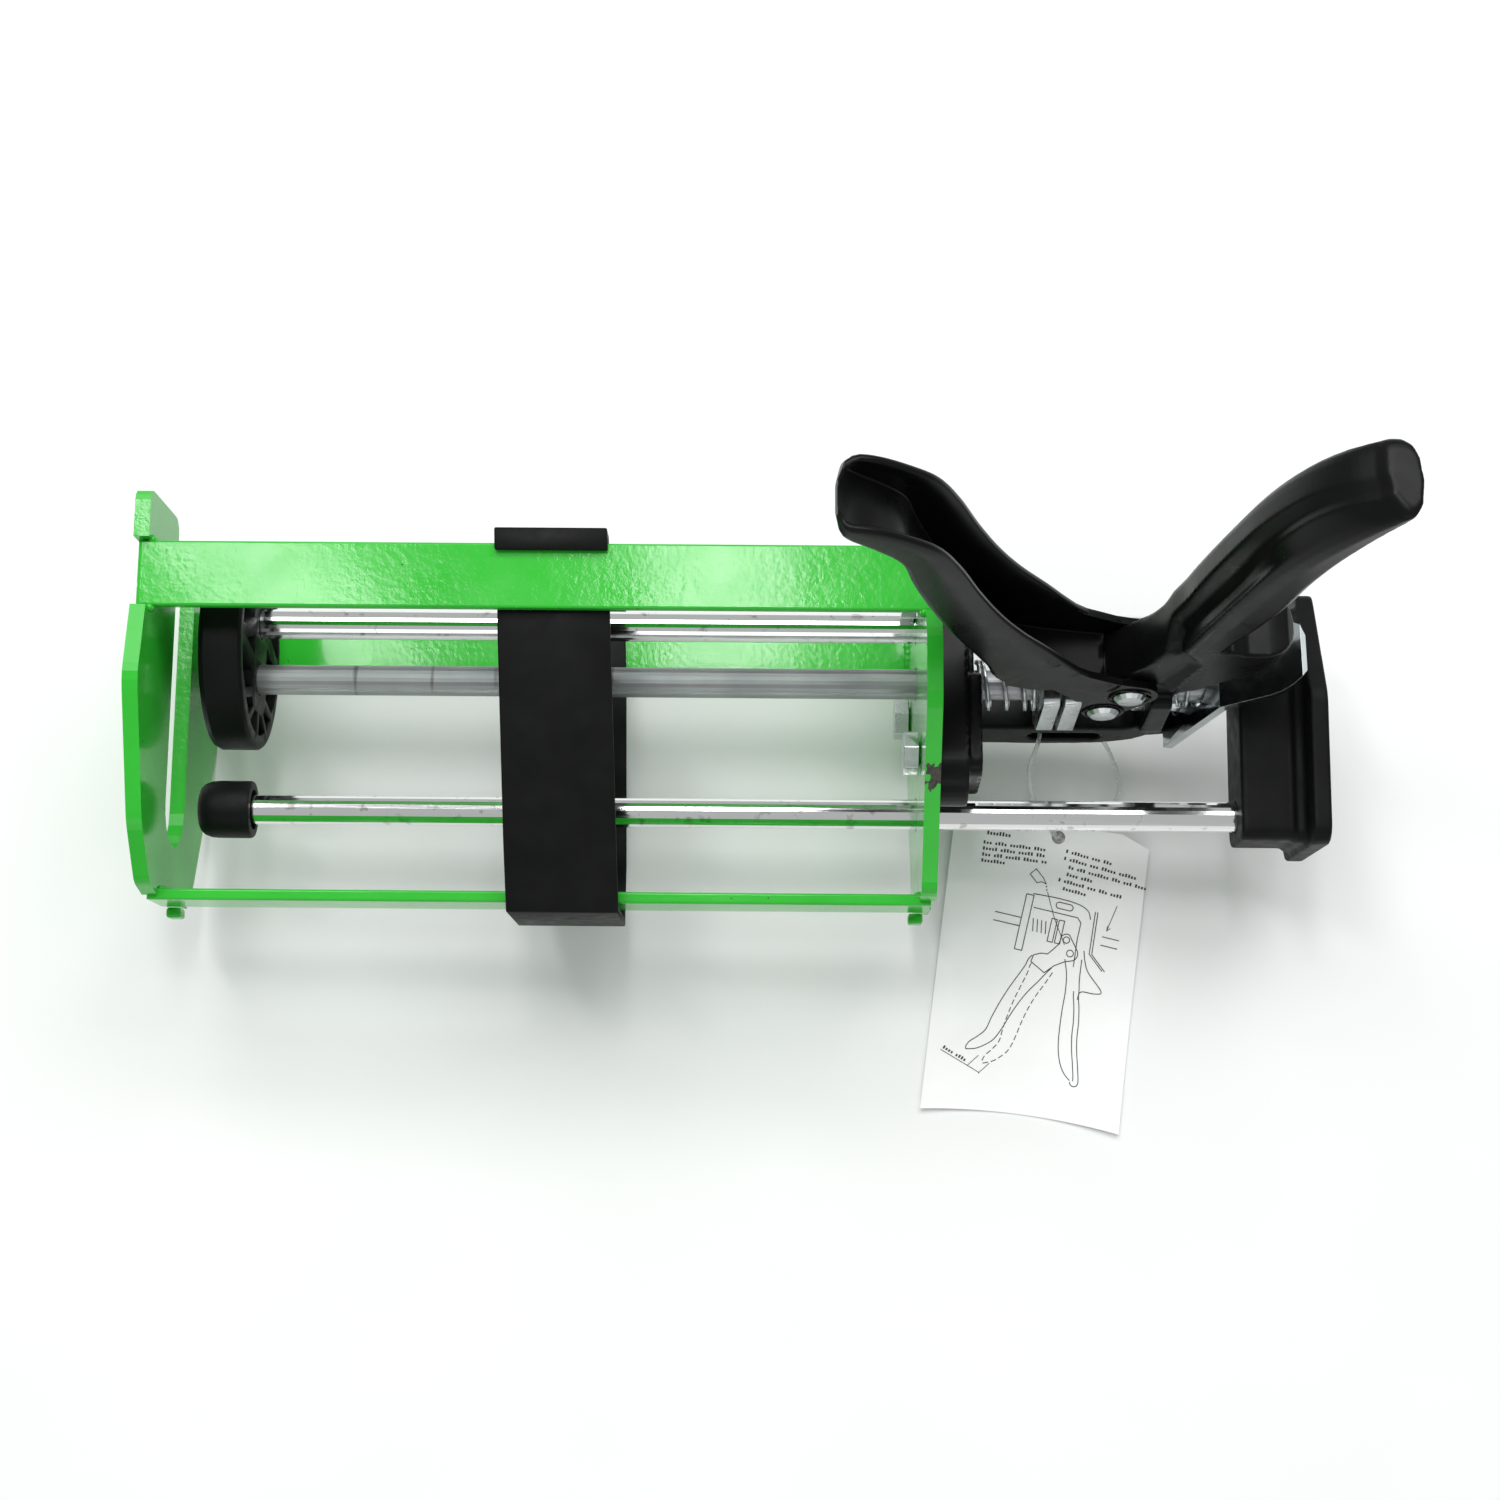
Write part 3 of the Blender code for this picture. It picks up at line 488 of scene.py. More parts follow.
def turned(profile, place=(0, 0), segments=64):
    """A bmesh turned about x at (y, z) from (x, radius) points."""
    rings = []
    for x, radius in profile:
        around = arc(place, radius, 0, 360 - 360 / segments, segments - 1)
        rings.append([(x, y, z) for y, z in around])
    return loft(rings)


def ring_about(point, side, other, radius, sides):
    """Points round a point, in the plane of the two directions."""
    turn = [2 * math.pi * k / sides for k in range(sides)]
    return [tuple(point + (side * math.cos(t) + other * math.sin(t)) * radius) for t in turn]


def tube(path, radius, sides=10):
    """A bmesh tube along a path of points."""
    rings = []
    normal = Vector((0.3, 0.5, 0.81)).normalized()
    for i, point in enumerate(path):
        before, after = path[max(i - 1, 0)], path[min(i + 1, len(path) - 1)]
        along = (Vector(after) - Vector(before)).normalized()
        normal = (normal - along * normal.dot(along)).normalized()
        rings.append(ring_about(Vector(point), normal, along.cross(normal), radius, sides))
    return loft(rings)


def bevel(obj, width_mm, segments=3, angle_deg=35):
    """Rounds the edges that are sharper than the angle."""
    modifier = obj.modifiers.new("edges", "BEVEL")
    modifier.width = width_mm * MM
    modifier.segments = segments
    modifier.limit_method = "ANGLE"
    modifier.angle_limit = math.radians(angle_deg)
    modifier.harden_normals = True


def fillet_by_remesh(obj, voxel_mm, passes):
    """Turns joined solids into one skin with softly filled corners, as a casting has."""
    remesh = obj.modifiers.new("skin", "REMESH")
    remesh.mode = "VOXEL"
    remesh.voxel_size = voxel_mm * MM
    relax = obj.modifiers.new("relax", "SMOOTH")
    relax.factor = 0.5
    relax.iterations = passes
    bake(obj)


def piece(obj, body, finish, *replaced, crease_deg=35):
    """Gives the finished piece its material and its body, and hides the CAD nodes that it stands
    for.
    """
    obj.data.materials.clear()
    obj.data.materials.append(MATERIALS[finish])
    obj.data.shade_smooth()
    obj.data.set_sharp_from_angle(angle=math.radians(crease_deg))
    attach(obj, body)
    if replaced:
        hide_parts(*replaced)


# --------------------------------------------------------- CAD nodes as such
FINISHES = {
    "green_coat": ("front_plate", "rear_plate", "near_strap", "far_strap", "side_strap"),
    "black_cast": ("handle_casting", "trigger"),
    "black_plastic": ("cartridge_clip", "wide_piston", "narrow_piston", "rear_yoke",
                      "adjuster_cap"),
    "chrome": ("guide_rod", "narrow_rod"),
    "grey_steel": ("drive_rod",),
    "white_card": ("hang_tag",),
    "clear_nylon": ("loop_lock",),
    "polished_zinc": ("release_lever",),
}
EDGES_MM = {"green_coat": 0.7, "black_cast": 0.8, "black_plastic": 0.5, "zinc": 0.35,
            "polished_zinc": 0.3}


def finish_of(node):
    """The finish of a CAD node: zinc unless the table says otherwise."""
    for finish, nodes in FINISHES.items():
        if node in nodes:
            return finish
    return "zinc"


def dress_cad_nodes():
    """Gives every CAD node its material, and softens the edges of the solid ones."""
    for name, node in frame["nodes"].items():
        finish = finish_of(name)
        node.data.materials.clear()
        node.data.materials.append(MATERIALS[finish])
        if finish in EDGES_MM and "spring" not in name:
            soften(node, EDGES_MM[finish])


def soften(obj, width_mm):
    """Joins a CAD node's coincident vertices and rounds its edges."""
    weld = obj.modifiers.new("weld", "WELD")
    weld.merge_threshold = 1e-6
    bevel(obj, width_mm, angle_deg=40)


# ----------------------------------------------------------------- handle
WALL_FRONT = 57.0
WALL_BACK = 62.5
FLANGE_BACK = 11.4
PIVOT = (50.3, 18.4)
PUSH_PIN = (44.8, 6.7)
LUG_HALF = 6.9
SPUR_HALF = 9.4
ROD_CLEARANCE = 4.7
GRIP_STATIONS = 60


def grip_rear():
    """The rear edge of the grip in profile, from behind the pivot to the tip."""
    return smooth([(62.5, 20), (66.5, 38), (69.5, 47.5), (71.5, 55), (75.5, 65), (79.5, 78),
                   (82.5, 91), (86.8, 104), (91.5, 115.5), (96, 127), (97.3, 131.5)], 5)


def grip_front():
    """The crest of the grip in profile, from the pivot lug to the tip."""
    return smooth([(47.5, 25), (53.8, 38), (58.2, 54), (60.2, 66), (62.2, 77), (65.0, 90),
                   (68.2, 102.5), (72.2, 113), (77, 121.6), (82.8, 128), (89.2, 132)], 5)


# Sections of the grip as closed loops of (y, fraction of the depth), from the crest round the
# near side to the back, and round the far side to the crest again. They hold by the pivot, along
# the hand and at the tip.
LUG_SECTION = [
    (0, 0), (-4.2, 0), (-5.9, 0.02), (-6.9, 0.1), (-6.9, 0.25), (-6.9, 0.4), (-6.9, 0.55),
    (-7.1, 0.68), (-8.4, 0.82), (-9.2, 0.88), (-7.6, 1), (0, 1.03), (7.6, 1), (9.2, 0.88),
    (8.4, 0.82), (7.1, 0.68), (6.9, 0.5), (6.9, 0.3), (6.9, 0.1), (5.9, 0.02)]
HAND_SECTION = [
    (3, 0), (1.5, 0), (0.7, 0.06), (-0.6, 0.20), (-3.0, 0.31), (-5.8, 0.29), (-7.8, 0.215),
    (-8.7, 0.30), (-9.2, 0.50), (-9.2, 0.88), (-7.6, 1), (0, 1.03), (7.6, 1), (9.4, 0.88),
    (9.8, 0.60), (9.8, 0.40), (9.4, 0.26), (8.6, 0.13), (7.6, 0.04), (6.4, 0)]
TIP_SECTION = [
    (3, -0.05), (1.5, -0.05), (0.2, 0.0), (-2.0, 0.05), (-3.8, 0.02), (-5.6, 0.18), (-7.2, 0.32),
    (-8.4, 0.45), (-9.1, 0.58), (-8.6, 0.80), (-6.2, 0.97), (0, 1.06), (6.2, 0.97), (9.2, 0.80),
    (10.4, 0.55), (10.4, 0.28), (9.9, 0.10), (8.7, 0.01), (7.0, -0.03), (5.0, -0.04)]
# How far the end cap stands out at each of its rings, and the ring's size.
CAP_RINGS = ((0.8, 0.98), (1.6, 0.93), (2.2, 0.84), (2.5, 0.70))


def grip_ring(front, rear, t):
    """The grip's section at the share t of its length."""
    to_hand = ease((t - 0.16) / 0.07)
    to_tip = ease((t - 0.45) / 0.5)
    ring = []
    for lug, hand, tip in zip(LUG_SECTION, HAND_SECTION, TIP_SECTION):
        y, part = Vector(lug).lerp(Vector(hand), to_hand).lerp(Vector(tip), to_tip)
        place = front.lerp(rear, part)
        ring.append((place.x, y, place.y))
    return ring


def grip():
    """A bmesh of the grip, lofted through its stations, with a softly capped tip."""
    last = GRIP_STATIONS - 1
    front = resample(grip_front(), GRIP_STATIONS)
    rear = resample(grip_rear(), GRIP_STATIONS)
    rings = [grip_ring(front[i], rear[i], i / last) for i in range(GRIP_STATIONS)]
    middle = (front[-1] + rear[-1]) / 2
    along = (middle - (front[-4] + rear[-4]) / 2).normalized()
    around = Vector((middle.x, 0, middle.y))
    for reach, size in CAP_RINGS:
        shift = Vector((along.x, 0, along.y)) * reach
        rings.append([tuple(around + (Vector(p) - around) * size + shift) for p in rings[last]])
    return loft(rings)


def spur():
    """The tongue behind the grip, round in plan, whose underside runs on from the rear wall."""
    top = smooth([(62, 44), (70, 50), (75.5, 48.3), (81, 48), (86, 46.8)], 4)
    under = smooth([(88.2, 44.2), (84, 39.8), (76, 32.5), (69, 25.5), (64.5, 18), (62.5, 12)], 4)
    side = prism(top + under + [(58, 14), (58, 30)], -SPUR_HALF, SPUR_HALF)
    tongue = raw("spur", side, HANDLE)
    neck = [(60, -6), (50, -6), (50, 6), (60, 6)]
    end = [(67, SPUR_HALF), *arc((78.8, 0), SPUR_HALF, 90, -90, 16), (67, -SPUR_HALF)]
    plan = loft([[(x, y, z) for x, y in neck + end] for z in (0, 60)])
    combine(tongue, plan, HANDLE, "INTERSECT")
    return tongue


def bow_outline():
    """The bow on the table side and the rear wall, in profile."""
    outer = smooth([(5, -28.5), (24, -29.5), (40, -29.3), (52, -27.5), (59, -23.5), (62, -17)], 5)
    wall = [(WALL_BACK, -14), (WALL_BACK, 16), (WALL_FRONT, 12), (WALL_FRONT, -12)]
    inner = arc((52, -12), 5, 0, -90, 6)[1:] + [(5, -17)]
    return outer + wall + inner


def hook_outline():
    """The hook behind the bow, in which the release lever's heel rests."""
    outer = smooth([(48, -25), (58, -28), (65, -26.8), (71.5, -23.5), (73, -19)], 5)
    seat = [(71.6, -17), (70, -18), (69.6, -21), (67.5, -24), (64.5, -24.5)]
    return outer + seat + [(62, -22), (61.4, -16), (52, -18)]


def flange_outline(scale=1.0):
    """The round-cornered flange about its three bolts, as (y, z)."""
    left, right, low = (-27.0, 13.0), (20.5, 12.0), (0.0, -29.0)
    outline = arc(right, 10, -25, 87, 12) + arc(left, 10.5, 87, 208, 12) + arc(low, 9, 208, 335, 12)
    return [(y * scale, z * scale) for y, z in outline]


def handle_casting():
    """The whole handle casting: flange, bow, rear wall, pivot lug, spur and grip."""
    casting = raw("handle_body", prism(bow_outline(), -6.5, 6.5), HANDLE)
    wall = rounded([(-10, 12, 2), (-10, -9, 5), (-6, -18, 3),
                    (6, -18, 3), (10, -9, 5), (10, 12, 2)])
    lug = [*arc(PIVOT, 6.5, 135, 270, 8),
           (57.5, 11.9), (57.5, 4), (62, 4), (64.5, 30), (60, 44), (54, 36)]
    near_lobe = rounded([(-31, 21, 4), (-31, -2, 4), (-3.5, -2, 2), (-3.5, 21, 2)])
    parts = [
        prism(flange_outline(), 0.3, 8.2, "x"),
        prism(near_lobe, 4, FLANGE_BACK + 0.4, "x"),
        prism(flange_outline(0.8), 4, 10.2, "x"),
        prism(wall, WALL_FRONT, WALL_BACK, "x"),
        prism(hook_outline(), -4.5, 4.5),
        prism(lug, -LUG_HALF, LUG_HALF),
        grip(),
    ]
    for part in parts:
        combine(casting, part, HANDLE, "UNION")
    boolean(casting, spur(), "UNION")
    slot_hole = rounded([(28, -20.5, 2.8), (48, -20.5, 2.8), (48, -26.3, 2.8), (28, -26.3, 2.8)])
    combine(casting, prism(slot_hole, -14, 14), HANDLE, "DIFFERENCE")
    fillet_by_remesh(casting, 0.45, 2)
    combine(casting, rod(ROD_CLEARANCE, -1, WALL_BACK + 1), HANDLE, "DIFFERENCE")
    guide = (centre("guide_rod") - GUN_PLACE) / MM
    guide_hole = rod(ROD_CLEARANCE, -1, FLANGE_BACK + 3, (guide.y, guide.z))
    combine(casting, guide_hole, GUN, "DIFFERENCE")
    thin = casting.modifiers.new("thin", "DECIMATE")
    thin.ratio = 0.4
    bake(casting)
    piece(casting, "frame", "black_cast", "handle_casting", crease_deg=60)


# ---------------------------------------------------------------- trigger
TRIGGER_HALF = 9.5
TRIGGER_WALL = 1.9
TRIGGER_STATIONS = 76
FLOOR_CORNER = 2.6
NEAR_TIP_RADIUS = 4.0
FAR_TIP_RADIUS = 6.5
BOSS_RADIUS = 5.6
DISH_RADIUS = 4.7


def trigger_front():
    """The outer face of the channel's floor in profile, from the tip to its lower end."""
    return smooth([(-28.8, 123.4), (-26.2, 118.2), (-19.4, 111.8), (-13.4, 104.2), (-10.2, 92),
                   (-5.4, 77), (0.4, 62), (6.6, 48.5), (11.4, 38), (13.4, 31.2), (17.2, 26.2),
                   (24, 23), (32, 20.6), (43, 18.0)], 6)


def trigger_rim():
    """The free edge of the cheeks in profile, from the tip to the pivot."""
    return smooth([(-28.2, 125.8), (-19.4, 123.8), (-11.1, 118.6), (-4.6, 112.4), (0.8, 101.5),
                   (6.6, 86), (12.6, 72.2), (19, 60.6), (26.5, 49.6), (32, 41), (37, 34),
                   (42.4, 29.4), (47.6, 27)], 6)


def tip_half(reach, radius):
    """The plan half-width at a distance from the tip, whose corner has this radius."""
    if reach >= radius:
        return TRIGGER_HALF
    return TRIGGER_HALF - radius + math.sqrt(radius ** 2 - (radius - reach) ** 2)


def channel_side(half, depth):
    """Half of the channel's section, from the floor's outer face round the rim and back inside."""
    corner = min(FLOOR_CORNER, depth * 0.6)
    inside = max(corner - TRIGGER_WALL, 0.4)
    wall = TRIGGER_WALL
    lip = min(0.5, depth * 0.2)
    side = [(0, 0), (half * 0.5, 0)]
    side += [(half - corner + y, corner + d) for y, d in arc((0, 0), corner, -90, 0, 5)]
    side += [(half, (corner + depth) / 2), (half, depth - lip),
             (half - wall * 0.2, depth - lip * 0.2), (half - wall * 0.5, depth),
             (half - wall * 0.8, depth - lip * 0.2)]
    low = min(wall + inside, depth - lip * 0.5)
    side += [(half - wall, depth - lip), (half - wall, (low + depth - lip) / 2)]
    side += [(half - wall - inside + y, low + d) for y, d in arc((0, 0), inside, 0, -90, 5)]
    side += [(half * 0.4, low - inside), (0, low - inside)]
    return side


def trigger_ring(front, rim, reach):
    """The channel's section at one station: out along one side and back along the other."""
    depth = max((rim - front).length, TRIGGER_WALL + 0.5)
    up = (rim - front).normalized()
    near = channel_side(tip_half(reach, NEAR_TIP_RADIUS), depth)
    far = channel_side(tip_half(reach, FAR_TIP_RADIUS), depth)
    outline = [(-y, d) for y, d in near] + [(y, d) for y, d in far[-2:0:-1]]
    ring = []
    for y, d in outline:
        place = front + up * d
        ring.append((place.x, y, place.y))
    return ring


def trigger_cheek():
    """One cheek's flat lower end, round the push pin and the pivot, in profile."""
    lower = [(16, 33), (17.4, 26.4), (24, 23.4), (30, 23), (34.6, 17.4), (38.4, 12)]
    nose = arc(PUSH_PIN, BOSS_RADIUS, 170, 290, 10) + arc(PIVOT, 7.2, -35, 60, 10)
    return lower + nose + [(46.6, 27.2), (38, 32.6), (30, 41)]


def boss(place, side):
    """The low pressed ring round a pin's head."""
    low, high = sorted((side * (TRIGGER_HALF - 1.2), side * (TRIGGER_HALF + 0.25)))
    return rod(BOSS_RADIUS, low, high, place, "y", 36)


def trigger_channel():
    """The pressed trigger: a channel whose cheeks run on past the floor to hold the pins."""
    front = resample(trigger_front(), TRIGGER_STATIONS)
    rim = resample(trigger_rim(), TRIGGER_STATIONS)
    step = (front[1] - front[0]).length
    rings = [trigger_ring(front[i], rim[i], i * step) for i in range(TRIGGER_STATIONS)]
    channel = raw("trigger_channel", loft(rings), HANDLE)
    for side in (-1, 1):
        low, high = sorted((side * (TRIGGER_HALF - TRIGGER_WALL), side * TRIGGER_HALF))
        combine(channel, prism(trigger_cheek(), low, high), HANDLE, "UNION")
        for place in (PIVOT, PUSH_PIN):
            combine(channel, boss(place, side), HANDLE, "UNION")
            low, high = sorted((side * (TRIGGER_HALF - 0.45), side * (TRIGGER_HALF + 2)))
            dish = rod(DISH_RADIUS, low, high, place, "y", 36)
            combine(channel, dish, HANDLE, "DIFFERENCE")
    for place, radius in ((PIVOT, 3.1), (PUSH_PIN, 2.7)):
        combine(channel, rod(radius, -12, 12, place, "y", 24), HANDLE, "DIFFERENCE")
    bevel(channel, 0.25, 2, 55)
    bake(channel)
    piece(channel, "trigger", "black_cast", "trigger")


# ----------------------------------------------- drive plates and springs
DRIVE_PLATE_THICK = 4.2
STEPS_PER_TURN = 28
CLOSED_TURNS = 1.15
CLOSED_SHARE = 0.08


def drive_plate(node, start):
    """A gripping plate with cut lower corners and a hole for the drive rod."""
    outline = rounded([(10.3, 14.5, 2), (-10.3, 14.5, 2), (-10.3, -7, 2),
                       (-5.5, -14.6, 2), (5.5, -14.6, 2), (10.3, -7, 2)])
    plate = raw(node + "_plate", prism(outline, start, start + DRIVE_PLATE_THICK, "x"), HANDLE)
    combine(plate, rod(4.6, start - 1, start + 6), HANDLE, "DIFFERENCE")
    bevel(plate, 0.5)
    bake(plate)
    piece(plate, "drive_plates", "zinc", node)


def coil(low, high, radius, turns, wire):
    """A compression spring along x, whose end turns are closed and take a small share of it."""
    steps = int(turns * STEPS_PER_TURN)
    closed = CLOSED_TURNS / turns
    path = []
    for i in range(steps + 1):
        t = i / steps
        if t < closed:
            along = CLOSED_SHARE * t / closed
        elif t > 1 - closed:
            along = 1 - CLOSED_SHARE * (1 - t) / closed
        else:
            along = CLOSED_SHARE + (1 - 2 * CLOSED_SHARE) * (t - closed) / (1 - 2 * closed)
        angle = 2 * math.pi * turns * t
        x = low + (high - low) * along
        path.append((x, radius * math.cos(angle), radius * math.sin(angle)))
    return tube(path, wire)


def springs():
    """The drive spring and the release spring, each a coil with a mesh of its own."""
    drive = raw("drive_coil", coil(12.4, 28.0, 6.3, 5, 0.62), HANDLE)
    piece(drive, "frame", "zinc", "drive_spring")
    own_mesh(drive)
    release = raw("release_coil", coil(63.1, 68.1, 5.2, 3, 0.45), HANDLE)
    piece(release, "frame", "zinc", "release_spring")
    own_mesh(release)


# ---------------------------------------------------- yoke, pistons, clip
DRIVE_Y = 0
GUIDE_Y = 15.3
NARROW_Y = -35.2
WIDE_Y = 7.65
ROD_SOCKET = 4.3
SCREW_HOLE = 2.9
PISTON_BACK = -179.5
PAST_BACK = -178
SOCKET_END = -185.8
RECESS_START = -187.7
CLIP_X = -97.5
CLIP_HALF = 14.3
CLIP_THICK = 2.0
CLIP_SKEW = -0.036


def rear_yoke():
    """The black yoke: a block over the rods' ends and a wider plate behind it."""
    block_side = [(20, 6.5, 3), (6, 10, 4), (-42.4, 10, 3)]
    plate_side = [(24.4, 5, 3.5), (-5.5, 20.5, 8), (-44.6, 20.5, 4.5)]
    block = [*block_side, *[(y, -z, r) for y, z, r in block_side[::-1]]]
    plate = [*plate_side, *[(y, -z, r) for y, z, r in plate_side[::-1]]]
    body = raw("yoke_body", prism(rounded(block), 80.4, 98, "x"), GUN)
    collar = [(y * 1.02, z * 1.16) for y, z in rounded(block)]
    combine(body, prism(collar, 94.2, 98, "x"), GUN, "UNION")
    combine(body, prism(rounded(plate), 96.8, 101.6, "x"), GUN, "UNION")
    fillet_by_remesh(body, 0.6, 6)
    for y in (DRIVE_Y, GUIDE_Y, NARROW_Y):
        bore(body, y, ((ROD_SOCKET, 79, 89.7), (SCREW_HOLE, 80, 103), (4.7, 90.9, 103)))
    piece(body, "rod_carriage", "black_plastic", "rear_yoke", crease_deg=50)


# The hollows in one half of the wide piston's back, between its ribs, as (y, z).
PISTON_POCKETS = (
    [(10.4, 7.6), (5.0, 7.6), (7.7, 17.5)],
    [(-3.6, 8.6), (-6.0, 17.2), (-2, 21.2), (5.2, 23.6), (4.8, 19.4), (0.6, 9.6)],
    [(15.0, 9.6), (10.8, 19.4), (10.4, 23.6), (17, 21.6), (22.2, 17.6), (19, 9)],
    [(-6.2, 8.2), (-8.0, 15.8), (-11.8, 11.6), (-8.4, 6.4)],
    [(-9.2, 1.2), (-9.0, 4.4), (-12.8, 9.6), (-14.4, 5.4), (-14.8, 1.2)],
    [(22.6, 7.6), (26.0, 14.4), (29.6, 9), (31.0, 1.6), (23.6, 1.6)],
)


def wide_piston():
    """The wide piston: a thick disc, ribbed at the back between the bosses for two rods."""
    profile = [(-191.0, 24.0), (-190.6, 25.6), (-189.2, 26.4), (-180.3, 26.4), (-179.6, 25.9),
               (PISTON_BACK, 25.2)]
    disc = raw("wide_piston_body", turned(profile, (WIDE_Y, 0), 96), GUN)
    for outline in PISTON_POCKETS:
        for side in (-1, 1):
            pocket = prism([(y, side * z) for y, z in outline], -185, PAST_BACK, "x")
            combine(disc, pocket, GUN, "DIFFERENCE")
    for y in (DRIVE_Y, GUIDE_Y):
        bore(disc, y, ((ROD_SOCKET, SOCKET_END, PAST_BACK), (SCREW_HOLE, -192, PAST_BACK),
                       (5.6, -192, RECESS_START)))
    bevel(disc, 0.3, 2, 50)
    bake(disc)
    piece(disc, "rod_carriage", "black_plastic", "wide_piston")


def narrow_piston():
    """The narrow piston, round at the front, with a recess round its rod."""
    profile = [(-193.4, 5.0), (-193.0, 5.9), (-192.0, 6.8), (-190.4, 7.4), (-188.5, 7.6),
               (-180.1, 7.6), (-179.6, 7.3), (PISTON_BACK, 6.8)]
    body = raw("narrow_piston_body", turned(profile, (NARROW_Y, 0), 56), GUN)
    bore(body, NARROW_Y, ((5.3, -181.6, PAST_BACK), (ROD_SOCKET, SOCKET_END, PAST_BACK),
                          (SCREW_HOLE, -194, PAST_BACK), (4.9, -194, RECESS_START)))
    piece(body, "rod_carriage", "black_plastic", "narrow_piston")


def mitred_band(points, thickness):
    """A closed outline of even thickness about a row of points, mitred at its bends."""
    left, right = [], []
    for i, point in enumerate(points):
        here = Vector(point)
        into = (here - Vector(points[max(i - 1, 0)])).normalized()
        out = (Vector(points[min(i + 1, len(points) - 1)]) - here).normalized()
        into = into if i > 0 else out
        out = out if i < len(points) - 1 else into
        normal = Vector((-into.y - out.y, into.x + out.x)).normalized()
        reach = thickness / 2 / normal.dot(Vector((-into.y, into.x)))
        left.append(tuple(here + normal * reach))
        right.append(tuple(here - normal * reach))
    return left + right[::-1]


def clip():
    """The bent band round the straps' edges, turned a little on them, as it was pushed home."""
    near = [(25.2, 42.4), (29.9, 42.4), (29.9, 36.6), (4, 36.6), (-47, 27.5), (-63.6, 22.5)]
    far = [(-63.6, -8), (-47, -20), (4, -36.6), (29.9, -36.6), (29.9, -42.4), (25.1, -42.4)]
    outline = mitred_band(near + far, CLIP_THICK)
    band = raw("clip_band", prism(outline, -CLIP_HALF, CLIP_HALF, "x"), Matrix.Identity(4))
    skew = Matrix.Identity(4)
    skew[0][1] = CLIP_SKEW
    band.data.transform(GUN @ Matrix.Translation((CLIP_X, 0, 0)) @ skew)
    bevel(band, 0.45)
    bake(band)
    piece(band, "clip", "black_plastic", "cartridge_clip")


# -------------------------------------------------------- welds and stops
def weld_bead(name, start, end, radius=0.9):
    """A run of weld in a corner, its width wandering a little along it."""
    count = 26
    start, end = Vector(start), Vector(end)
    along = (end - start).normalized()
    side = along.cross(Vector((0.31, 0.23, 0.92))).normalized()
    other = along.cross(side)
    rings = []
    for i in range(count + 1):
        t = i / count
        size = radius * (1 + 0.22 * math.sin(i * 2.1) + 0.12 * math.sin(i * 5.3 + 1))
        size *= math.sqrt(max(0.06, 1 - (2 * t - 1) ** 8))
        rings.append(ring_about(start.lerp(end, t), side, other, size, 12))
    piece(raw(name, loft(rings), GUN), "frame", "green_coat", crease_deg=80)


def welds():
    """The beads that join the straps to the two end plates."""
    for end, x in (("front", -199.9), ("rear", -4.1)):
        weld_bead(f"weld_near_{end}_high", (x, 27.9, 38.6), (x, 27.9, 41.0))
        weld_bead(f"weld_near_{end}_low", (x, 10.2, 38.4), (x, 10.2, 41.0))
        weld_bead(f"weld_far_{end}", (x, 11, -37.8), (x, 27, -37.8))
        weld_bead(f"weld_side_{end}", (x, -58.1, 0), (x, -58.1, 14.5))


def stops():
    """The short tabs that stand out below the side strap's ends."""
    outline = rounded([(-63.6, -10, 1), (-60.9, -10, 1), (-60.9, -4, 1), (-63.6, -4, 1)])
    for name, x in (("front", -200.6), ("rear", -3.9)):
        tab = raw(f"tab_{name}", prism(outline, x - 1.9, x + 1.9, "x"), GUN)
        bevel(tab, 0.6)
        bake(tab)
        piece(tab, "frame", "green_coat")


# --------------------------------------------------------------------- tag
TABLE = -44.5
CARD_WIDE = 55.0
CARD_LONG = 83.0
CARD_THICK = 0.5
CARD_TURN = math.radians(-7)
CARD_MIDDLE = (31.85, -72.7)
CARD_LIFT = 3.0
CORNER_LIFT = 1.6
CARD_BOW = 2.0
HOLE_ON_CARD = (29.5, 3.2)
LOOP_RADIUS = 0.6
INK_LOW = CARD_THICK + 0.02
INK_HIGH = CARD_THICK + 0.07
MARK_WIDTH = 0.52
MARK_INSET = 0.28
MARK_PITCH = 0.86
GROUP_GAP = 0.75
LOW_MARK = 0.72
LINE = 0.26
LEADER = 0.2


def tag_loop():
    """The nylon loop, through the bow's slot to the tag's hole and back to its lock."""
    curve = bpy.data.curves.new("nylon_loop", "CURVE")
    curve.dimensions = "3D"
    curve.bevel_depth = LOOP_RADIUS * MM
    curve.bevel_resolution = 4
    curve.use_fill_caps = True
    points = [GUN @ Vector(p) for p in loop_route()]
    spline = curve.splines.new("POLY")
    spline.points.add(len(points) - 1)
    for target, point in zip(spline.points, points):
        target.co = (*point, 1)
    loop = bpy.data.objects.new("nylon_loop", curve)
    bpy.context.scene.collection.objects.link(loop)
    curve.materials.append(MATERIALS["clear_nylon"])
    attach(loop, "frame")
    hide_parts("tag_loop")


def on_card(across, down, height=0.0):
    """A place on the warped card's underside, from its left edge and its top edge."""
    up = 1 - down / CARD_LONG
    side = 2 * across / CARD_WIDE - 1
    lift = CARD_LIFT * up ** 2 + CORNER_LIFT * (1 - up) ** 4 * side ** 2
    x = across - CARD_WIDE / 2
    y = CARD_LONG / 2 - down + CARD_BOW * (1 - side ** 2) * (1 - up) ** 3
    cos, sin = math.cos(CARD_TURN), math.sin(CARD_TURN)
    return (CARD_MIDDLE[0] + x * cos - y * sin, CARD_MIDDLE[1] + x * sin + y * cos,
            TABLE + lift + height)


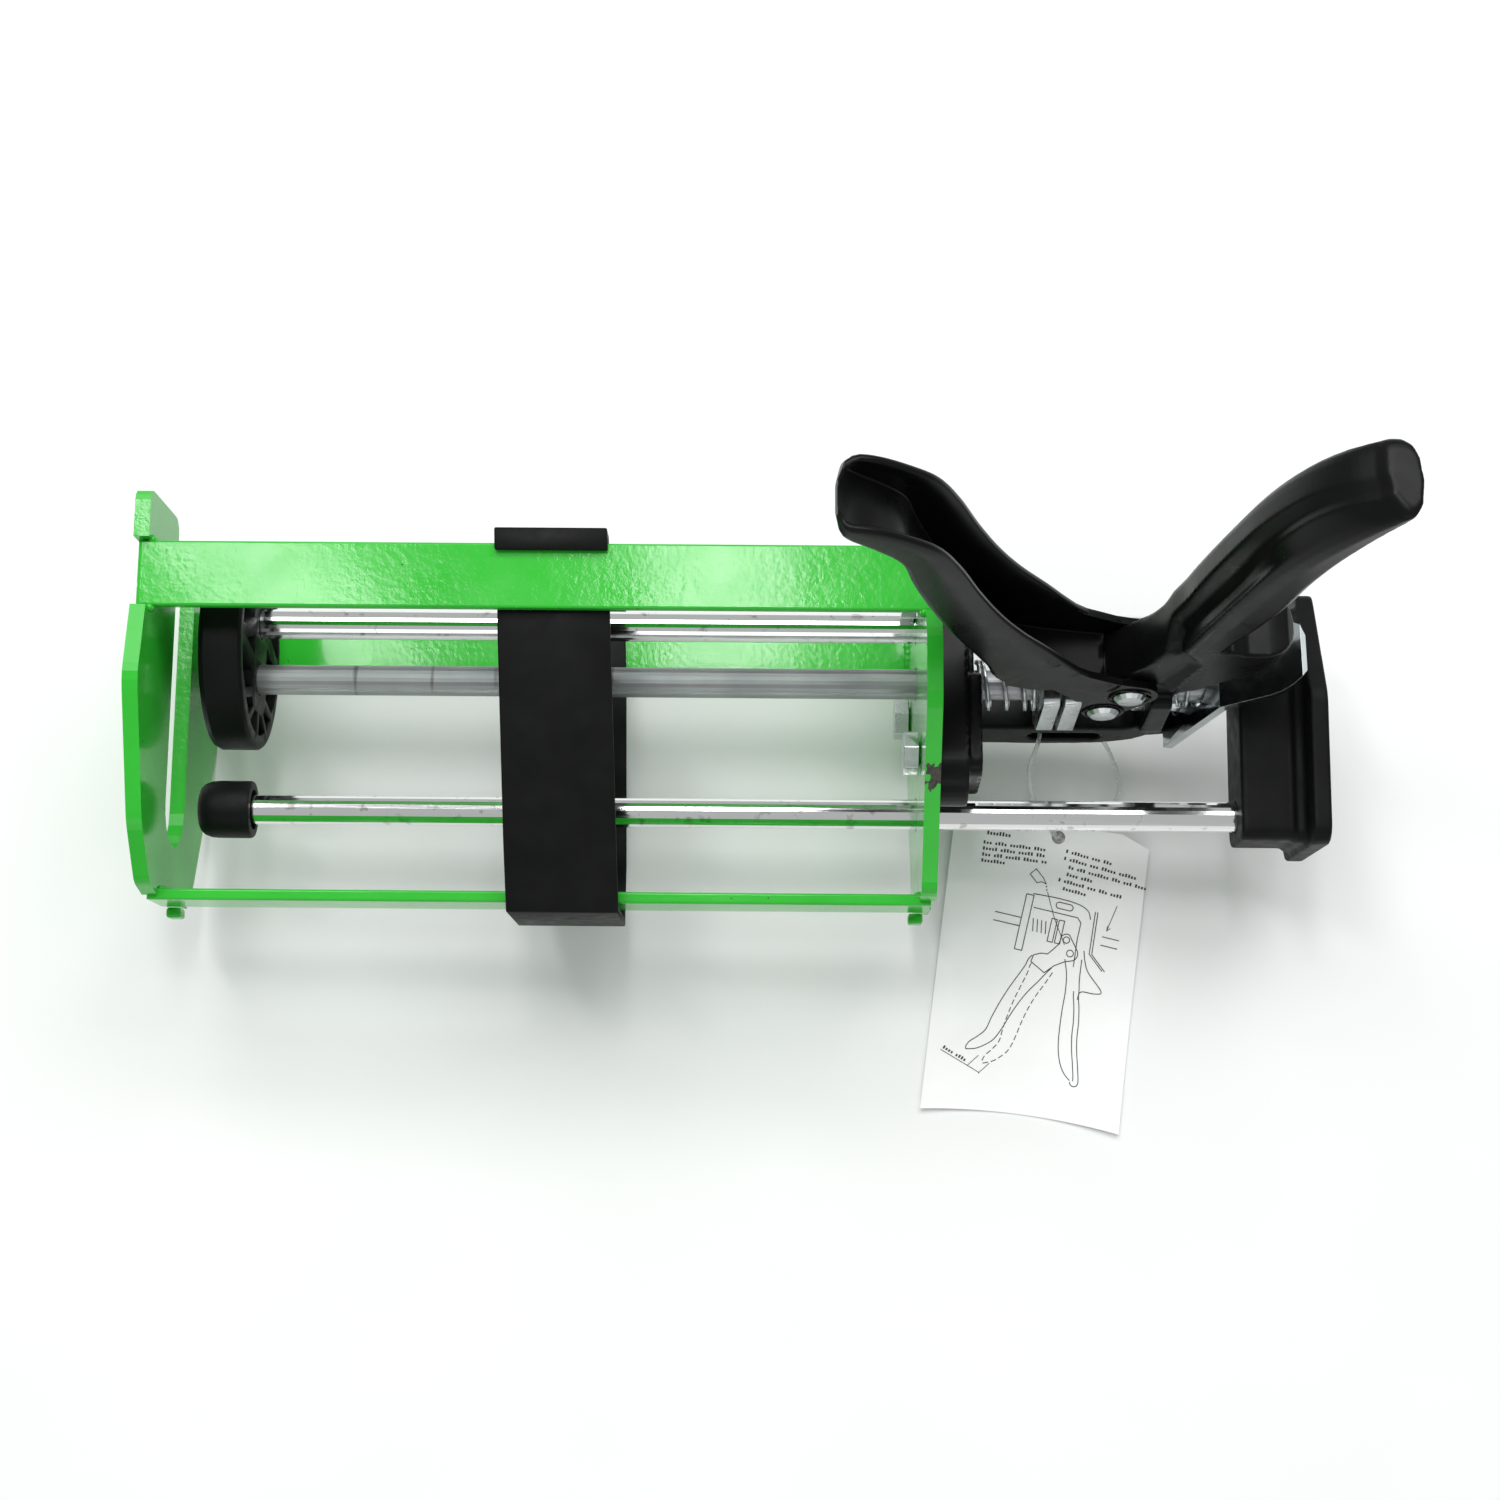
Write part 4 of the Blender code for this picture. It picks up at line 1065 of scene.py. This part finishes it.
def ribbon(bm, points, width):
    """A printed line of even width along a row of points on the card."""
    fine = []
    for here, there in zip(points, points[1:]):
        steps = max(1, int((Vector(there) - Vector(here)).length / 1.5))
        fine += [tuple(Vector(here).lerp(Vector(there), k / steps)) for k in range(steps)]
    band = mitred_band(fine + [points[-1]], width)
    half = len(band) // 2
    left, right = band[:half], band[:half - 1:-1]
    rows = []
    for one, other in zip(left, right):
        corners = ((*one, INK_LOW), (*one, INK_HIGH), (*other, INK_HIGH), (*other, INK_LOW))
        rows.append([bm.verts.new(on_card(*corner)) for corner in corners])
    for lower, upper in zip(rows, rows[1:]):
        for k in range(4):
            bm.faces.new((lower[k], lower[(k + 1) % 4], upper[(k + 1) % 4], upper[k]))
    bm.faces.new(rows[0])
    bm.faces.new(rows[-1])


def words(bm, start, slope_deg, lengths, height=0.95):
    """One row of plain marks in groups: each length is a group's count of marks."""
    slope = Vector((math.cos(math.radians(slope_deg)), math.sin(math.radians(slope_deg))))
    up = Vector((-slope.y, slope.x))
    place = Vector(start)
    for i, length in enumerate(lengths):
        for k in range(length):
            tall = height * (1.0 if (i + 2 * k) % 5 in (0, 3) else LOW_MARK)
            foot = place + slope * MARK_INSET
            ribbon(bm, [tuple(foot), tuple(foot - up * tall)], MARK_WIDTH)
            place = place + slope * MARK_PITCH
        place = place + slope * GROUP_GAP


def sketch(points, turn_deg, scale=0.3, pivot=(36.4, 35.2)):
    """Profile points of the tool's own side view, drawn small about the card's pivot mark."""
    turn = math.radians(turn_deg)
    drawn = []
    for x, z in points:
        dx, dz = (x - PIVOT[0]) * scale, (z - PIVOT[1]) * scale
        drawn.append((pivot[0] + dx * math.cos(turn) - dz * math.sin(turn),
                      pivot[1] + dx * math.sin(turn) + dz * math.cos(turn)))
    return drawn


def dashed(bm, points, width, dash=1.5, gap=0.8):
    """A printed broken line along a row of points."""
    length = sum((Vector(b) - Vector(a)).length for a, b in zip(points, points[1:]))
    count = int(length / (dash + gap))
    even = resample(points, count * 3 + 1)
    for k in range(count):
        ribbon(bm, [tuple(p) for p in even[3 * k:3 * k + 3]], width)


def sketch_handle(bm):
    """The side view of the handle, with the trigger in two places."""
    slot_hole = rounded([(28, -20.5, 2.8), (44, -20.5, 2.8), (44, -26.3, 2.8), (28, -26.3, 2.8)])
    inner = [(8, -16), (50, -16), (54, -12), (54, 4), (56, 30)]
    for outline in (bow_outline()[:26], slot_hole + slot_hole[:1], inner):
        ribbon(bm, sketch(outline, 6), LINE)
    flange = [(-1, -27), (6, -27), (6, 26), (-1, 26), (-1, -27)]
    ribbon(bm, sketch(flange, 6), LINE)
    for z in (-4, 4):
        ribbon(bm, sketch([(-26, z), (-1, z)], 6), LINE)
        ribbon(bm, sketch([(76, z), (92, z)], 6), LINE)
    for x in (10, 14, 18, 22):
        ribbon(bm, sketch([(x, -6), (x + 2, 6)], 6), LINE)
    for low, high in ((27, 32), (34, 39)):
        ribbon(bm, sketch([(low, -10), (high, -10), (high, 12), (low, 12), (low, -10)], 6), LINE)
    lever = [(68, -24), (68, 16), (82, 30)]
    for shift in (0, 2.4):
        ribbon(bm, sketch([(x + shift, z) for x, z in lever], 2), LINE)
    ribbon(bm, sketch(grip_front(), 13), LINE)
    ribbon(bm, sketch(grip_rear() + arc((93.5, 132.5), 3.8, 0, 170, 5), 13), LINE)
    ribbon(bm, sketch([(x - 5, z) for x, z in grip_rear()[12:]], 13), LINE)
    spur_line = smooth([(62, 12), (66, 22), (72, 31), (88, 44), (82, 48), (70, 50), (69, 58)], 4)
    ribbon(bm, sketch(spur_line, 10), LINE)
    for place, radius in ((PIVOT, 3.2), (PUSH_PIN, 3.0)):
        ribbon(bm, sketch(arc(place, radius, 0, 360, 14), 4), LINE)
    ribbon(bm, sketch(trigger_cheek() + trigger_cheek()[:1], 4), LINE)
    front, rim = trigger_front()[:60], trigger_rim()[:60]
    end = [trigger_front()[0], trigger_rim()[0]]
    for part in (front, rim, end):
        ribbon(bm, sketch(part, 4), LINE)
    for part in (front, rim):
        dashed(bm, sketch(part, -5), LINE)


def tag_print():
    """The card's print: two blocks of plain marks, a label, the sketch and its leaders."""
    bm = bmesh.new()
    words(bm, (9.5, 4.9), 0, (8,), 1.1)
    for row, lengths in enumerate(((3, 4, 7, 4), (5, 5, 5, 3), (3, 3, 5, 5, 2), (8,))):
        words(bm, (8.8, 7.6 + 1.7 * row), 0, lengths)
    rows = ((0, (1, 6, 3, 3)), (0, (1, 6, 3, 5, 6)), (1.8, (2, 3, 7, 3, 3, 4)), (1.8, (4, 4)),
            (0, (1, 7, 3, 3, 4)), (1.8, (8,)))
    for row, (indent, lengths) in enumerate(rows):
        words(bm, (32.0 - 0.3 * row + indent, 7.2 + 2.05 * row + indent * 0.15), 8.4, lengths)
    words(bm, (4.2, 66.0), 27, (4, 4))
    for line in ([(3.7, 66.4), (15.2, 72.2)], [(11.6, 70.4), (14.4, 67.2)],
                 [(14.8, 72.4), (17.6, 69.2)], [(28.2, 18.8), (31, 26), (34.6, 33)],
                 [(48, 20.2), (45.8, 27.6)], [(45.8, 27.6), (45.9, 26.2)],
                 [(45.8, 27.6), (46.8, 26.7)]):
        ribbon(bm, line, LEADER)
    bottle = [(22.8, 14.4), (24.4, 12.8), (26.6, 15.0), (27.6, 16.6), (26.2, 16.2), (25.0, 16.6),
              (22.8, 14.4)]
    ribbon(bm, bottle, 0.22)
    for across, down in ((27.7, 17.2), (27.9, 18.1)):
        ribbon(bm, [(across, down), (across + 0.1, down + 0.35)], 0.4)
    sketch_handle(bm)
    bmesh.ops.recalc_face_normals(bm, faces=bm.faces)
    piece(raw("tag_print", bm, GUN), "frame", "tag_ink")


def loop_route():
    """The loop's route, from behind the bow to the card's hole and back up to the lock."""
    hole_x, hole_y, _ = on_card(*HOLE_ON_CARD)
    route = [
        (32, 8.6, -24.6), (32, 0, -23.6), (31.4, -10, -23.4), (29.2, -17, -26.5), (30, -23, -33),
        (32.5, -27, -38.5), (35.5, hole_y + 3.4, TABLE + 5.4),
        (hole_x - 0.3, hole_y - 0.3, TABLE + 2.9), (hole_x + 1.8, hole_y + 2.2, TABLE + 1.0),
        (hole_x + 8, hole_y + 5.0, TABLE + 1.2), (53, -27, TABLE + 3), (55.5, -20, TABLE + 5.5),
        (52, -10, TABLE + 7.2), (44, 3, TABLE + 7.6), (36, 12.5, TABLE + 8.2),
        (31.8, 17.6, TABLE + 13), (31.2, 17.8, TABLE + 18.4), (31, 15.6, TABLE + 19.3),
    ]
    return smooth(route, 4)


make_camera()
make_floor()
make_light()
dress_cad_nodes()
handle_casting()
trigger_channel()
drive_plate("front_drive_plate", 28.6)
drive_plate("rear_drive_plate", 34.2)
springs()
rear_yoke()
wide_piston()
narrow_piston()
clip()
welds()
stops()
tag_print()
tag_loop()
